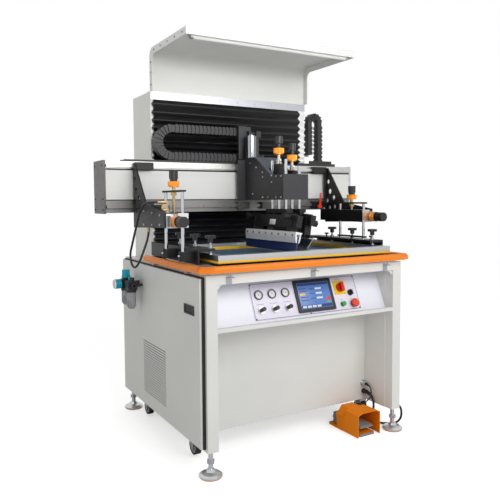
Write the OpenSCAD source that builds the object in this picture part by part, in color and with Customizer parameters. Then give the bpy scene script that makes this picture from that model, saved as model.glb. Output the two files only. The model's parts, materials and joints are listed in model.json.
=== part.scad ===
// Flatbed screen printer: cabinet with console, tower with hood, lifting beam with print head and
// screen clamps. Millimetres, +Z up, origin on the floor under the middle of the machine.

/* [Cabinet] */
// Outside width of the cabinet frame
cab_w = 1046; // [960:1:1260]
// Outside depth of the cabinet frame
cab_d = 990; // [960:1:1190]
// Height of the cabinet top above the floor
cab_top = 830; // [780:1:1000]
// Clear height under the cabinet frame
cab_low = 108; // [100:1:130]
// Side of the square frame tube
tube = 50; // [42:1:60]
// Depth of the upper frame rails
rail_h = 36; // [30:1:44]
// Thickness of the cabinet sheet
sheet = 3; // [2:0.5:4]
// Thickness of the door pan
door_t = 18; // [14:1:24]
// How far the door and side panel stop short of the frame's front and rear
door_inset = 20; // [10:1:40]
// Number of louvre slots in the door
louvres = 22; // [10:1:26]
// Number of vent slots along each side of the cabinet top
vents = 40; // [10:1:44]
// How far the lower front panel is set back
knee_d = 195; // [150:1:230]

/* [Console] */
// Height of the rail in front of the console above the cabinet's foot line
console_z = 486; // [440:1:520]
// Set-back of the console's foot
console_y = 45; // [30:1:60]
// Set-back of the console's top edge
console_back = 128; // [100:1:160]
// Width of the control panel plate
panel_w = 585; // [560:1:700]
// Height of the control panel plate along its slope
panel_h = 164; // [158:1:172]
// Diameter of the pressure gauges
gauge_d = 42; // [30:1:50]
// Diameter of the regulator knobs
reg_d = 18; // [14:1:24]
// Width of the touch screen
hmi_w = 207; // [160:1:230]
// Height of the touch screen
hmi_h = 150; // [110:1:156]

/* [Table] */
// Width of the vacuum table
table_w = 860; // [700:1:900]
// Depth of the vacuum table
table_d = 620; // [500:1:660]
// Height of the table face above the cabinet top
table_h = 26; // [20:1:28]
// Diameter of the vacuum holes
vac_d = 4; // [2:0.5:6]
// Width of the safety rim's bar
rim_w = 28; // [20:1:32]

/* [Tower] */
// Width of the tower
tower_w = 938; // [880:1:1000]
// Distance from the cabinet's front to the tower's front
tower_y = 722; // [722:1:740]
// Depth of the tower
tower_d = 254; // [220:1:262]
// Height of the tower above the cabinet top
tower_h = 845; // [820:1:960]
// Height of the hood above the tower
hood_h = 209; // [150:1:260]
// Reach of the hood in front of the tower
hood_reach = 441; // [300:1:520]
// Depth of the hood's front lip
lip_h = 34; // [24:1:50]
// Radius of the bend between the hood's back and its roof
hood_r = 45; // [30:1:60]
// Pleats in the upper bellows
pleats_up = 10; // [8:1:20]
// Pleats in the lower bellows
pleats_low = 8; // [6:1:14]
// Diameter of the lift guide shafts
guide_d = 35; // [25:1:40]

/* [Beam] */
// Length of the beam
beam_l = 1452; // [1420:1:1600]
// Distance from the machine's middle to the beam's middle
beam_off = -34; // [-40:1:0]
// Depth of the beam
beam_d = 123; // [100:1:130]
// Height of the beam
beam_h = 240; // [220:1:250]
// Height of the beam's underside above the cabinet top
beam_up = 245; // [240:1:300]
// Thickness of the beam's end caps
cap_t = 12; // [8:1:16]
// Outer radius of the carriage chain's bend
chain_r = 90; // [80:1:96]
// Depth of the chain links
chain_t = 43; // [36:1:46]

/* [Print head] */
// Width of the carriage box
box_w = 140; // [130:1:180]
// Reach of the carriage box in front of the beam
box_reach = 387; // [360:1:400]
// Length of the squeegee and of the flood bar
blade_l = 450; // [380:1:480]
// Height of the blades' edges above the table
blade_up = 35; // [34:1:48]
// Distance between the squeegee and the flood bar
head_gap = 76; // [74:1:100]
// Lean of the squeegee
squeegee_lean = 11; // [5:1:16]
// Diameter of the adjusting knobs
knob_d = 36; // [28:1:44]
// Diameter of the orange lock rings
ring_d = 50; // [44:1:60]

/* [Screen] */
// Width of the screen frame
frame_w = 936; // [920:1:944]
// Depth of the screen frame
frame_d = 655; // [560:1:660]
// Width of the frame's bars
frame_b = 35; // [28:1:40]
// Height of the frame's bars
frame_h = 33; // [28:1:34]
// Length of the clamp rails
rail_l = 532; // [480:1:540]
// Distance between the rods of a screen arm
rod_gap = 180; // [150:1:200]
// Diameter of the rods of a screen arm
rod_d = 14; // [10:1:16]

/* [Feet] */
// Diameter of a levelling foot's disc
foot_d = 97; // [70:1:100]
// Diameter of a levelling foot's spindle
spindle_d = 20; // [14:1:24]
// Diameter of the castor wheels
castor_d = 75; // [60:1:80]
// Diameter of the foot switch's cord
cord_d = 6; // [5:0.5:7]
// Diameter of the mains lead
power_d = 11; // [9:0.5:13]
// Diameter of the air hose
hose_d = 10; // [8:0.5:11]

/* [Hidden] */
$fn = 40;
// running clearance on a shaft, and the gap between pieces that move past each other
run = 0.05;
gap = 0.3;
e = 0.01;
hw = cab_w / 2;
inx = hw - tube;
top_z = cab_top - sheet;
foot_y = tube / 2 - 1;
table_z = cab_top + table_h;
table_y = 24;
door_x = hw + gap;
door_out = door_x + door_t + sheet;
door_z0 = cab_low + 14;
door_z1 = cab_top - 12;
// origin of the file on the floor under the middle of the machine
rim_y = -rim_w / 2 - 6;
rim_x = hw + 22;
ref_x = beam_off;
ref_y = (rim_y - rim_w / 2 + cab_d + sheet) / 2;

// beam, its rails and what rides on it
bx0 = beam_off - beam_l / 2;
bx1 = beam_off + beam_l / 2;
bz0 = cab_top + beam_up;
bz1 = bz0 + beam_h;
by1 = tower_y - 24;
by0 = by1 - beam_d;
rail_s = 14;
rail_zu = bz1 - 22;
rail_zl = bz0 + 28;
ride_y = by0 - rail_s - 2;

// screen frame
fx = 18;
fz = table_z + 15;
fy0 = 35;
f0 = fx - frame_w / 2;
f1 = fx + frame_w / 2;

// print head
car_x = 40;
cx0 = car_x - box_w / 2;
cx1 = car_x + box_w / 2;
cy0 = by0 - box_reach;
cz0 = bz0 + 56;
cz1 = cz0 + 119;
head_y = 290;
sq_x = car_x - 28;
fl_x = sq_x + head_gap;
blade_z = table_z + blade_up;
pivot_z = blade_z + 152;
blade_y = 330;

// screen arms, measured from the outer plate of each
arm_l = -622;
arm_r = 506;
arm_z = cab_top + 218;
arm_y0 = 200;
arm_y1 = by0 - rail_s - 2 * gap;
rod_u = 74;
rod_y = 255;
feed_u = 36;
feed_y = 148;
rail_y0 = 108;
rail_z0 = fz - 6;
rail_z1 = rail_z0 + 66;

module place() translate([-ref_x, -ref_y, 0]) children();
module bx(x0, x1, y0, y1, z0, z1) translate([x0, y0, z0]) cube([x1 - x0, y1 - y0, z1 - z0]);
// extrude a profile drawn in Y and Z along X
module along_x(x0, x1) translate([x0, 0, 0]) rotate([90, 0, 90]) linear_extrude(x1 - x0) children();
// extrude a profile drawn in X and Z along Y
module along_y(y0, y1) translate([0, y1, 0]) rotate([90, 0, 0]) linear_extrude(y1 - y0) children();
module rod_x(x, y, z, l, d) translate([x, y, z]) rotate([0, 90, 0]) cylinder(h = l, d = d);
module rod_y(x, y, z, l, d) translate([x, y, z]) rotate([-90, 0, 0]) cylinder(h = l, d = d);
module rod_z(x, y, z, l, d) translate([x, y, z]) cylinder(h = l, d = d);
module both() { children(); mirror([1, 0, 0]) children(); }
module soft_rect(w, h, r) {
  square([w - 2 * r, h], center = true);
  square([w, h - 2 * r], center = true);
  for (i = [-1, 1], j = [-1, 1]) translate([i * (w / 2 - r), j * (h / 2 - r)]) circle(r);
}
// socket-head screw seen from its head, axis along the direction turned to by the caller
module screw(d, h) difference() {
  cylinder(h = h, d = d, $fn = 20);
  translate([0, 0, h * 0.5]) cylinder(h = h, d = d * 0.5, $fn = 6);
}
// fluted knob, axis up, base at zero
module fluted(d, h, n) difference() {
  cylinder(h = h, d = d);
  for (i = [0:n - 1]) rotate(i * 360 / n) translate([d / 2 + 1.2, 0, -1])
    cylinder(h = h + 2, r = min(2.6, d * 1.9 / n), $fn = 16);
}

// Cords: a tube along the points of a route
function unit(v) = v / norm(v);
function mix(a, b, c, d, t) = 0.5 * (2 * b + (c - a) * t + (2 * a - 5 * b + 4 * c - d) * t * t
  + (3 * b - a - 3 * c + d) * t * t * t);
function smooth_path(p, k) = let (n = len(p)) concat([for (i = [0:n - 2], j = [0:k - 1])
  mix(p[max(i - 1, 0)], p[i], p[i + 1], p[min(i + 2, n - 1)], j / k)], [p[n - 1]]);
// steps of a route, each added to the points before it: straight on, or round a bend of radius r towards t
function last(p) = p[len(p) - 1];
function go(p, h, l, n) = let (a = last(p)) concat(p, [for (i = [1:n]) a + h * l * i / n]);
function bend(p, h, t, r, turn, n) = let (a = last(p)) concat(p, [for (i = [1:n])
  a + r * (sin(turn * i / n) * h + (1 - cos(turn * i / n)) * t)]);
function tan_at(q, i) = unit(q[min(i + 1, len(q) - 1)] - q[max(i - 1, 0)]);
function side_at(q, i) = i == 0
  ? (let (t = tan_at(q, 0), a = abs(t[2]) < 0.8 ? [0, 0, 1] : [1, 0, 0]) unit(cross(t, a)))
  : (let (t = tan_at(q, i), s = side_at(q, i - 1)) unit(s - t * (s * t)));
module cord_tube(p, d, k, n) {
  q = smooth_path(p, k);
  m = len(q);
  ring = [for (i = [0:m - 1]) let (t = tan_at(q, i), s = side_at(q, i), w = cross(t, s))
    for (j = [0:n - 1]) q[i] + (d / 2) * (cos(j * 360 / n) * s + sin(j * 360 / n) * w)];
  sides = [for (i = [0:m - 2], j = [0:n - 1]) let (a = i * n + j, b = i * n + (j + 1) % n)
    each [[a, a + n, b], [b, a + n, b + n]]];
  ends = [for (j = [1:n - 2]) each [[0, j, j + 1], [(m - 1) * n, (m - 1) * n + j + 1, (m - 1) * n + j]]];
  polyhedron(points = ring, faces = concat(sides, ends), convexity = 6);
}
// mains lead: down from its gland, along the floor to beside the frame's corner, up and in at its outer face
power_bend = 48;
power_low = 7;
power_head = [cos(34), -sin(34), 0];
power_down = bend(go([[461, 171, 150]], [0, -1, 0], 7, 1), [0, -1, 0], [0, 0, -1], power_bend, 90, 5);
power_floor = bend(go(power_down, [0, 0, -1], last(power_down)[2] - power_low - power_bend, 3),
  [0, 0, -1], power_head, power_bend, 90, 5);
power_side = go(power_floor, power_head,
  (hw + 4 + power_bend - last(power_floor)[0]) / power_head[0] - power_bend, 3);
power_up = go(bend(power_side, power_head, [0, 0, 1], power_bend, 90, 5), [0, 0, 1], 10, 1);
power_route = go(bend(power_up, [0, 0, 1], [-1, 0, 0], power_bend, 90, 5), [-1, 0, 0], 3.8, 1);
foot_route = [
  [457, 175, 192], [457, 161, 192], [458, 146, 188], [456, 131, 176], [447, 119, 158], [432, 113, 140],
  [413, 116, 125], [398, 130, 114], [390, 150, 107], [387, 172, 101], [390, 196, 92], [398, 220, 80],
  [409, 244, 64], [424, 264, 50], [443, 279, 40], [464, 292, 30]];
switch_route = [
  [470, 319, 6], [430, 319, 4], [392, 314, 4], [362, 304, 5], [343, 290, 9], [332, 275, 14],
  [327, 260, 19], [325.5, 249, 22], [325.5, 239, 24]];
// air hose: out of the valve, back and down outside the safety rim, round a hanging loop and up to the fitting
hose_out = min(-660.4, -rim_x - rim_w / 2 - 14);
hose_end = -606;
hose_turn = 43;
hose_bow = 150;
hose_loop = 48;
hose_lean = 55;
hose_fitting = [408, 1007.4];
hose_way = [0, cos(hose_lean), -sin(hose_lean)];
hose_front = bend(go([[-612.4, 222, 1124]], [-1, 0, 0], -612.4 - hose_turn - hose_out, 1),
  [-1, 0, 0], [0, 1, 0], hose_turn, 90, 4);
hose_bowed = bend(hose_front, [0, 1, 0], [0, 0, -1], hose_bow, hose_lean, 9);
hose_down = go(hose_bowed, hose_way,
  (hose_fitting[0] + hose_loop * (1 + sin(hose_lean)) - last(hose_bowed)[1]) / cos(hose_lean), 11);
hose_round = bend(hose_down, hose_way, [0, -sin(hose_lean), -cos(hose_lean)], hose_loop, 270 - hose_lean, 11);
hose_flat = go(hose_round, [0, 0, 1], hose_fitting[1] - last(hose_round)[2], 8);
hose_low = len(hose_down) + 5;
// past its lowest point it draws in from beside the rim to under the fitting
hose_route = [for (i = [0:len(hose_flat) - 1]) hose_flat[i] + [i < hose_low ? 0
  : (hose_end - hose_out) * (1 - cos(180 * (i - hose_low) / (len(hose_flat) - 1 - hose_low))) / 2, 0, 0]];

// Cabinet
module base_frame() color([0.83, 0.83, 0.80]) place() difference() {
  union() {
    both() for (y = [0, cab_d - tube]) bx(inx, hw, y, y + tube, cab_low, top_z);
    both() bx(inx, hw, tube - 1, cab_d - tube + 1, cab_low, cab_low + tube);
    both() bx(inx, hw, tube - 1, cab_d - tube + 1, top_z - rail_h, top_z);
    for (z = [[cab_low, cab_low + tube], [top_z - rail_h, top_z]])
      bx(-inx - 1, inx + 1, cab_d - tube, cab_d, z[0], z[1]);
    bx(-inx - 1, inx + 1, 0, tube, top_z - rail_h, top_z);
    bx(-inx - 1, inx + 1, knee_d + sheet, knee_d + sheet + tube, cab_low, cab_low + tube);
    bx(-inx - 1, inx + 1, tower_y, tower_y + tube, top_z - rail_h, top_z);
    bx(-inx - 1, inx + 1, 0, 20, cab_low + console_z, cab_low + console_z + 17);
    // gussets under the front rail's corners
    both() along_y(8, 14) polygon([[inx + 1, top_z - rail_h + 1], [inx - 26, top_z - rail_h + 1],
      [inx + 1, top_z - rail_h - 26]]);
  }
  both() for (y = [foot_y, cab_d - foot_y]) rod_z(hw - foot_y, y, cab_low - 1, 71, spindle_d + 2 * run);
}

module louvre_row(n, w, pitch) for (i = [0:n - 1]) translate([0, 0, i * pitch])
  rotate([90, 0, 90]) translate([0, 0, -20]) linear_extrude(40) {
    square([w - 4, 4], center = true);
    for (s = [-1, 1]) translate([s * (w / 2 - 2), 0]) circle(2, $fn = 16);
  }

module cabinet_panels() place() {
  color([0.83, 0.83, 0.80]) difference() {
    bx(-hw, hw, 0, cab_d, top_z, cab_top);
    both() for (i = [0:vents - 1]) translate([hw - 32, 52 + i * 14, top_z - 1]) {
      translate([-15, -1.5, 0]) cube([30, 3, sheet + 2]);
    }
    rod_z(0, table_y + table_d / 2, top_z - 1, sheet + 2, 60);
    bx(-120, 120, tower_y + tube + 60, tower_y + tower_d - 40, top_z - 1, cab_top + 1);
  }
  // fixed right side, rear with its slots, lower front, cheeks of the knee space, console floor
  color([0.83, 0.83, 0.80]) {
    difference() {
      bx(hw, hw + sheet, door_inset, cab_d - door_inset, door_z0, door_z1);
      translate([hw, cab_d / 2, door_z0 + 80]) louvre_row(louvres, 280, 12);
    }
    difference() {
      bx(-inx, inx, cab_d, cab_d + sheet, door_z0, door_z1);
      translate([0, cab_d, door_z1 - 220]) rotate(90) louvre_row(12, 300, 12);
    }
    bx(-inx, inx, knee_d, knee_d + sheet, cab_low, cab_low + console_z);
    both() bx(inx - sheet, inx, tube, knee_d - gap, cab_low, top_z - rail_h);
    difference() {
      bx(-inx + sheet + gap, inx - sheet - gap, 20, knee_d + sheet, cab_low + console_z + gap,
        cab_low + console_z + sheet);
      rod_z(-380, knee_d - 40, cab_low + console_z - 1, sheet + 2, 40);
    }
    bx(-inx, inx, knee_d + sheet + tube, cab_d - tube, cab_low + tube - sheet, cab_low + tube);
  }
  color([0.6, 0.6, 0.62]) hinge_pins();
  // stays of the safety rim: a tab and a guide pin each
  color([0.72, 0.72, 0.72]) {
    for (x = [-420, 0, 420]) rim_stay(x, rim_y, 90);
    both() for (y = [130, 500]) rim_stay(0, y, 0);
  }
  // cable gland and socket in the lower front panel
  color([0.12, 0.12, 0.12]) {
    rod_y(461, knee_d - 6, 150, 6 - gap, 24);
    difference() { rod_y(461, knee_d - 24, 150, 19, 21); rod_y(461, knee_d - 25, 150, 14, 14.4); }
  }
  color([0.75, 0.75, 0.76]) {
    rod_y(457, knee_d - 4, 192, 4 - gap, 30);
    difference() { rod_y(457, knee_d - 26, 192, 23, 22); rod_y(457, knee_d - 27, 192, 12, 6.4); }
  }
}
rim_z = cab_top + 11;
module rim_stay(x, y, a) {
  px = a == 90 ? x : -(hw + 22);
  if (a == 90) {
    bx(px - 12, px + 12, y - 10, 0, cab_top - 12, cab_top - 9);
    bx(px - 12, px + 12, -3, 0, cab_top - 40, cab_top - 9);
    rod_z(px, y, cab_top - 9.5, rim_z - cab_top + 19, 6);
  } else {
    bx(px - 10, px + 40, y - 12, y + 12, cab_top + gap, cab_top + 3);
    rod_z(px, y, cab_top + 2.5, rim_z - cab_top + 7, 6);
  }
}

module on_slope() translate([0, console_y, cab_low + console_z + sheet])
  rotate([-lean, 0, 0]) children();
lean = atan((console_back - console_y) / (top_z - rail_h - cab_low - console_z - sheet));
slope_l = (top_z - rail_h - cab_low - console_z - sheet) / cos(lean);
panel_x = 27;
panel_s0 = 17;
module console() color([0.86, 0.87, 0.93]) place() difference() {
  on_slope() bx(-inx + sheet + gap, inx - sheet - gap, 0, sheet, 1.5, slope_l - 1);
  on_slope() bx(panel_x - panel_w / 2 + 12, panel_x + panel_w / 2 - 12, -5, 20, panel_s0 + 12,
    panel_s0 + panel_h - 12);
}

gauge_x = [-227, -158, -88];
gauge_s = panel_s0 + 111;
reg_s = panel_s0 + 43;
hmi_x = 66;
hmi_s = panel_s0 + 85;
main_c = [220, panel_s0 + 109];
sel_c = [275, panel_s0 + 81];
start_c = [217, panel_s0 + 30];
stop_c = [280, panel_s0 + 28];
// a thing that faces the operator on the sloped plate: centre, then built along its own +Z
module face_at(x, s, d) on_slope() translate([x, -sheet - d, s]) rotate([90, 0, 0]) children();
module control_panel() place() {
  color([0.80, 0.80, 0.79]) difference() {
    on_slope() bx(panel_x - panel_w / 2, panel_x + panel_w / 2, -sheet, 0, panel_s0, panel_s0 + panel_h);
    for (x = gauge_x) face_at(x, gauge_s, -10) cylinder(h = 20, d = gauge_d - 6);
    for (x = gauge_x) face_at(x, reg_s, -10) cylinder(h = 20, d = 12);
    for (c = [sel_c, start_c, stop_c]) face_at(c[0], c[1], -10) cylinder(h = 20, d = 22);
    face_at(main_c[0], main_c[1], -10) cylinder(h = 20, d = 14);
    face_at(hmi_x, hmi_s, -10) translate([-hmi_w / 2 + 10, -hmi_h / 2 + 10, 0])
      cube([hmi_w - 20, hmi_h - 20, 20]);
  }
  for (x = gauge_x) {
    color([0.1, 0.1, 0.1]) face_at(x, gauge_s, 0) difference() {
      union() {
        cylinder(h = 6, d = gauge_d);
        translate([0, 0, -30]) cylinder(h = 30.5, d = gauge_d - 8);
      }
      translate([0, 0, 3]) cylinder(h = 5, d = gauge_d - 7);
    }
    color([0.95, 0.95, 0.95]) face_at(x, gauge_s, -3) cylinder(h = 1.2, d = gauge_d - 8);
    color([0.7, 0.7, 0.7]) face_at(x, reg_s, 0) difference() {
      union() { cylinder(h = 6, d = 32); translate([0, 0, -45]) cylinder(h = 45.5, d = 11.6); }
      translate([0, 0, -12]) cylinder(h = 20, d = 6 + 2 * run);
    }
  }
  // collars of the push buttons and the selector, yellow plate of the main switch
  color([0.15, 0.15, 0.15]) for (c = [sel_c, start_c, stop_c]) face_at(c[0], c[1], 0) difference() {
    union() { cylinder(h = 3, d = 29); translate([0, 0, -24]) cylinder(h = 24.5, d = 21.6); }
    translate([0, 0, -16]) cylinder(h = 24, d = 12 + 2 * run);
  }
  color([0.93, 0.76, 0.08]) face_at(main_c[0], main_c[1], 0) difference() {
    union() {
      linear_extrude(3) soft_rect(65, 65, 4);
      translate([0, 0, -30]) cylinder(h = 30.5, d = 13.6);
    }
    translate([0, 0, -16]) cylinder(h = 24, d = 6 + 2 * run);
  }
}

module touch_screen() place() {
  color([0.20, 0.21, 0.23]) difference() {
    union() {
      face_at(hmi_x, hmi_s, 0) linear_extrude(8) soft_rect(hmi_w, hmi_h, 6);
      face_at(hmi_x, hmi_s, -32) translate([-hmi_w / 2 + 11, -hmi_h / 2 + 11, 0])
        cube([hmi_w - 22, hmi_h - 22, 32.5]);
    }
    face_at(hmi_x, hmi_s, 6) translate([-hmi_w / 2 + 14, -hmi_h / 2 + 14, 0])
      cube([hmi_w - 28, hmi_h - 28, 5]);
  }
  color([0.25, 0.45, 0.75]) face_at(hmi_x, hmi_s, 6) translate([-hmi_w / 2 + 14, -hmi_h / 2 + 14, 0])
    cube([hmi_w - 28, hmi_h - 28, 1]);
}

module vacuum_table() color([0.78, 0.79, 0.80]) place() difference() {
  bx(-table_w / 2, table_w / 2, table_y, table_y + table_d, cab_top, table_z);
  translate([0, 0, cab_top - 1]) bx(-table_w / 2 + 12, table_w / 2 - 12, table_y + 12,
    table_y + table_d - 12, 0, table_h - 9);
  for (i = [-7:7], j = [-4:4]) rod_z(i * 50, table_y + table_d / 2 + j * 60, table_z - 12, 14, vac_d);
}

// profile of the safety rim: an arch open underneath
module rim_arch() difference() {
  union() {
    translate([0, rim_w / 2]) circle(rim_w / 2);
    translate([-rim_w / 2, 0]) square([rim_w, rim_w / 2]);
  }
  translate([0, rim_w / 2]) circle(rim_w / 2 - 2.5);
  translate([-rim_w / 2 + 2.5, -1]) square([rim_w - 5, rim_w / 2 + 1]);
}
rim_side = 612;
// outline of the rim's corner piece, k inside its edge
function rim_corner(k) = let (y0 = rim_y - rim_w / 2 + k, y1 = rim_y + rim_w / 2 - k,
  x0 = rim_x - rim_w / 2 + k,
  x1 = rim_x + rim_w / 2 - k) [[hw - 26, y0], [hw - 12 - k / 2, y0], [x1, -12 + k / 2], [x1, 8], [x0, 8],
  [x0, 4], [hw - 4, y1], [hw - 26, y1]];
module safety_rim() color([0.96, 0.45, 0.08]) place() {
  // front bar and its webs
  translate([0, rim_y, rim_z]) along_x(-hw + 22, hw - 22) rim_arch();
  for (x = [-420, 0, 420]) difference() {
    bx(x - 10, x + 10, rim_y - rim_w / 2 + 1, rim_y + rim_w / 2 - 1, rim_z + 3, rim_z + 6);
    rod_z(x, rim_y, rim_z - 1, 12, 6 + 2 * gap);
  }
  both() {
    for (r = [[4, 300], [304, rim_side]]) translate([rim_x, 0, rim_z]) along_y(r[0], r[1]) rim_arch();
    bx(rim_x - 7, rim_x + 7, 292, 312, rim_z, rim_z + 2.6);
    bx(rim_x - rim_w / 2 + 1, rim_x + rim_w / 2 - 1, 290, 299, rim_z, rim_z + 3);
    bx(rim_x - rim_w / 2 + 1, rim_x + rim_w / 2 - 1, 305, 314, rim_z, rim_z + 3);
    for (y = [130, 500]) difference() {
      bx(rim_x - rim_w / 2 + 1, rim_x + rim_w / 2 - 1, y - 10, y + 10, rim_z + 3, rim_z + 6);
      rod_z(rim_x, y, rim_z - 1, 12, 6 + 2 * gap);
    }
    // chamfered corner piece, narrower towards its top
    for (k = [[0, rim_w / 2 + 3], [3, rim_w - 5], [8, rim_w - 0.5]])
      translate([0, 0, rim_z + (k[0] > 0 ? 2 : 0)]) linear_extrude(k[1] - (k[0] > 0 ? 2 : 0))
        polygon(rim_corner(k[0]));
  }
}

// Tower and hood
tz1 = cab_top + tower_h;
ty1 = tower_y + tower_d;
tw = tower_w / 2;
trim_h = 39;
module tower() place() {
  color([0.83, 0.83, 0.80]) difference() {
    bx(-tw, tw, tower_y, ty1, cab_top, tz1);
    bx(-tw + 4, tw - 4, tower_y - 1, ty1 - 4, cab_top - 1, tz1 - 4);
    translate([0, ty1, tz1 - 200]) rotate(90) louvre_row(8, 260, 14);
  }
  color([0.83, 0.83, 0.80]) both() bx(tw - 28, tw - 2, tower_y, tower_y + 4, cab_top, tz1 - 2);
  color([0.88, 0.89, 0.90]) {
    bx(-tw, tw, tower_y - 6, tower_y, tz1 - trim_h, tz1);
    // plate that holds the end of the lift chain
    bx(tw - 1, lc_x - lc_r + lc_t + 4, lc_y1 + gap, lc_y1 + gap + 5, lc_z - 200, lc_z - 60);
    for (x = [-tw + 60:109:tw - 50]) translate([x, tower_y - 6, tz1 - trim_h / 2]) rotate([90, 0, 0])
      screw(7, 3);
  }
}

hood_y = tower_y - hood_reach;
hz1 = tz1 + hood_h;
// rectangle in Y and Z with its far upper corner rounded
module bent(y0, y1, z0, z1, r) {
  translate([y0, z0]) square([y1 - y0 - r, z1 - z0]);
  translate([y1 - r, z0]) square([r, z1 - z0 - r]);
  translate([y1 - r, z1 - r]) circle(r, $fn = 64);
}
module hood() place() {
  color([0.85, 0.85, 0.83]) {
    along_x(-tw, tw) difference() {
      bent(hood_y, tower_y + sheet, tz1 + gap, hz1, hood_r);
      bent(hood_y + sheet, tower_y, tz1 - 1, hz1 - sheet, hood_r - sheet);
      translate([hood_y - 1, tz1 - 1]) square([hood_reach - 20, hood_h - lip_h + 1]);
    }
    bx(-tw + 3, tw - 3, tower_y + 1, tower_y + 60, tz1 + gap, tz1 + sheet + gap);
    both() along_x(tw - 3, tw + 0.6) difference() {
      bent(hood_y + 0.5, tower_y + sheet - 0.5, tz1 + gap + 0.5, hz1 - 0.5, hood_r - 0.5);
      bent(hood_y - 1, tower_y - lip_h, tz1 - 1, hz1 - lip_h, 30);
    }
    // stiffening ribs behind the back panel
    both() along_x(tw - 160, tw - 156) polygon([[tower_y + 2, tz1 + 2], [tower_y + 60, tz1 + 2],
      [tower_y + 2, hz1 - hood_r - 4]]);
  }
  color([0.45, 0.45, 0.44]) both() {
    for (y = [0:4]) translate([tw, hood_y + 40 + y * 85, hz1 - lip_h / 2]) rotate([0, 90, 0]) screw(7, 2.4);
    for (z = [30, 90, 140]) translate([tw, tower_y - lip_h / 2, tz1 + z]) rotate([0, 90, 0]) screw(7, 2.4);
  }
  // hood lamp brackets
  color([0.6, 0.6, 0.6]) both() bx(tw - 30, tw - 26, hood_y + 14, hood_y + 40, hz1 - 30, hz1 - 2);
}
module hood_lamp() place() {
  color([1, 1, 1]) rod_x(-tw + 44, hood_y + 27, hz1 - 42 + 8, 2 * tw - 88, 24);
  color([0.75, 0.75, 0.75]) both() rod_x(tw - 44, hood_y + 27, hz1 - 34, 14, 26);
  color([0.8, 0.8, 0.8]) bx(-tw + 60, tw - 60, hood_y + 17, hood_y + 37, hz1 - 24, hz1 - 3);
}

// height of the lower edge of pleat i of n, as a share of the whole; k is the top pleat over the bottom one
function pleat(i, n, k) = (i + (k - 1) * i * (i - 1) / (2 * (n - 1))) / (n * (k + 1) / 2);
// pleated cover: zigzag in depth and at both ends
module bellows(z0, z1, n, k) {
  z = [for (i = [0:n]) z0 + (z1 - z0) * pleat(i, n, k)];
  yb = tower_y - 1;
  intersection() {
    along_x(-tw + 4, tw - 4) polygon(concat([[yb, z0], [yb, z1]], [for (i = [n:-1:0]) each
      (i > 0 ? [[yb - 9, z[i]], [yb - 20, (z[i] + z[i - 1]) / 2]] : [[yb - 9, z0]])]));
    along_y(yb - 30, yb + 1) polygon(concat([for (i = [0:n]) each
      (i < n ? [[tw - 16, z[i]], [tw - 5, (z[i] + z[i + 1]) / 2]] : [[tw - 16, z1]])],
      [for (i = [n:-1:0]) each
      (i > 0 ? [[-tw + 16, z[i]], [-tw + 5, (z[i] + z[i - 1]) / 2]] : [[-tw + 16, z0]])]));
  }
}
module upper_bellows() color([0.17, 0.17, 0.20]) place() bellows(bz1 + gap, tz1 - trim_h - gap, pleats_up, 2);
module lower_bellows() color([0.10, 0.10, 0.12]) place() bellows(cab_top + gap, bz0 - gap, pleats_low, 1);

// guide shafts, air cylinder with its clevis
guide_x = 330;
guide_y = tower_y + 68;
stroke = 180;
barrel_h = 50 + stroke;
module lift_guides() place() {
  color([0.82, 0.83, 0.85]) both() rod_z(guide_x, guide_y, cab_top + 4, tower_h - 8.3, guide_d);
  color([0.35, 0.36, 0.38]) both() difference() {
    union() { rod_z(guide_x, guide_y, cab_top, 24, guide_d + 26);
      bx(guide_x - 45, guide_x + 45, guide_y - 34, guide_y + 34, cab_top, cab_top + 10); }
    rod_z(guide_x, guide_y, cab_top + 3.7, 30, guide_d + 2 * run);
  }
  color([0.70, 0.71, 0.73]) difference() {
    rod_z(0, guide_y, cab_top + 14, barrel_h, 63);
    rod_z(0, guide_y, cab_top + 24, barrel_h - 22, 50);
    rod_z(0, guide_y, cab_top + 24, barrel_h, 20 + 2 * run);
  }
  color([0.35, 0.36, 0.38]) bx(-45, 45, guide_y - 40, guide_y + 40, cab_top, cab_top + 14);
}

// Inside the cabinet
module vacuum_blower() place() translate([170, 560, cab_low + tube]) {
  color([0.30, 0.33, 0.36]) {
    bx(-90, 90, -110, 110, 0, 12);
    bx(-60, 60, -12, 12, 10, 80);
    difference() {
      rod_y(0, -60, 160, 70, 270);
      for (i = [0:11]) translate([0, 0, 160]) rotate([0, i * 30, 0]) rod_y(0, -61, 100, 10, 22);
    }
    rod_y(0, 9, 160, 150, 170);
    difference() { rod_z(-100, -25, 160, 190, 62); rod_z(-100, -25, 255, 100, 50); }
    for (a = [0:20:340]) translate([0, 20, 160]) rotate([0, a, 0]) translate([84, 0, -2]) cube([10, 130, 4]);
  }
}
module electrical_plate() place() translate([-200, 430, cab_low + tube]) {
  color([0.80, 0.80, 0.78]) {
    bx(0, 4, 0, 440, 40, 560);
    for (y = [20, 400]) bx(0, 30, y, y + 20, 0, 42);
  }
  color([0.25, 0.27, 0.30]) { bx(-70, 0, 30, 170, 400, 520); bx(-90, 0, 200, 330, 380, 530); }
  color([0.75, 0.76, 0.78]) bx(-60, 0, 350, 420, 400, 520);
  color([0.85, 0.86, 0.87]) for (z = [330, 210, 90]) bx(-8, 0, 30, 410, z, z + 35);
  color([0.90, 0.90, 0.88]) for (i = [0:7]) bx(-66, -7.5, 40 + i * 20, 57 + i * 20, 300, 385);
  color([0.35, 0.50, 0.42]) for (i = [0:15]) bx(-48, -7.5, 40 + i * 13, 51 + i * 13, 195, 260);
  color([0.18, 0.19, 0.20]) for (i = [0:2]) bx(-80, -7.5, 270 + i * 48, 312 + i * 48, 185, 275);
}

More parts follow.
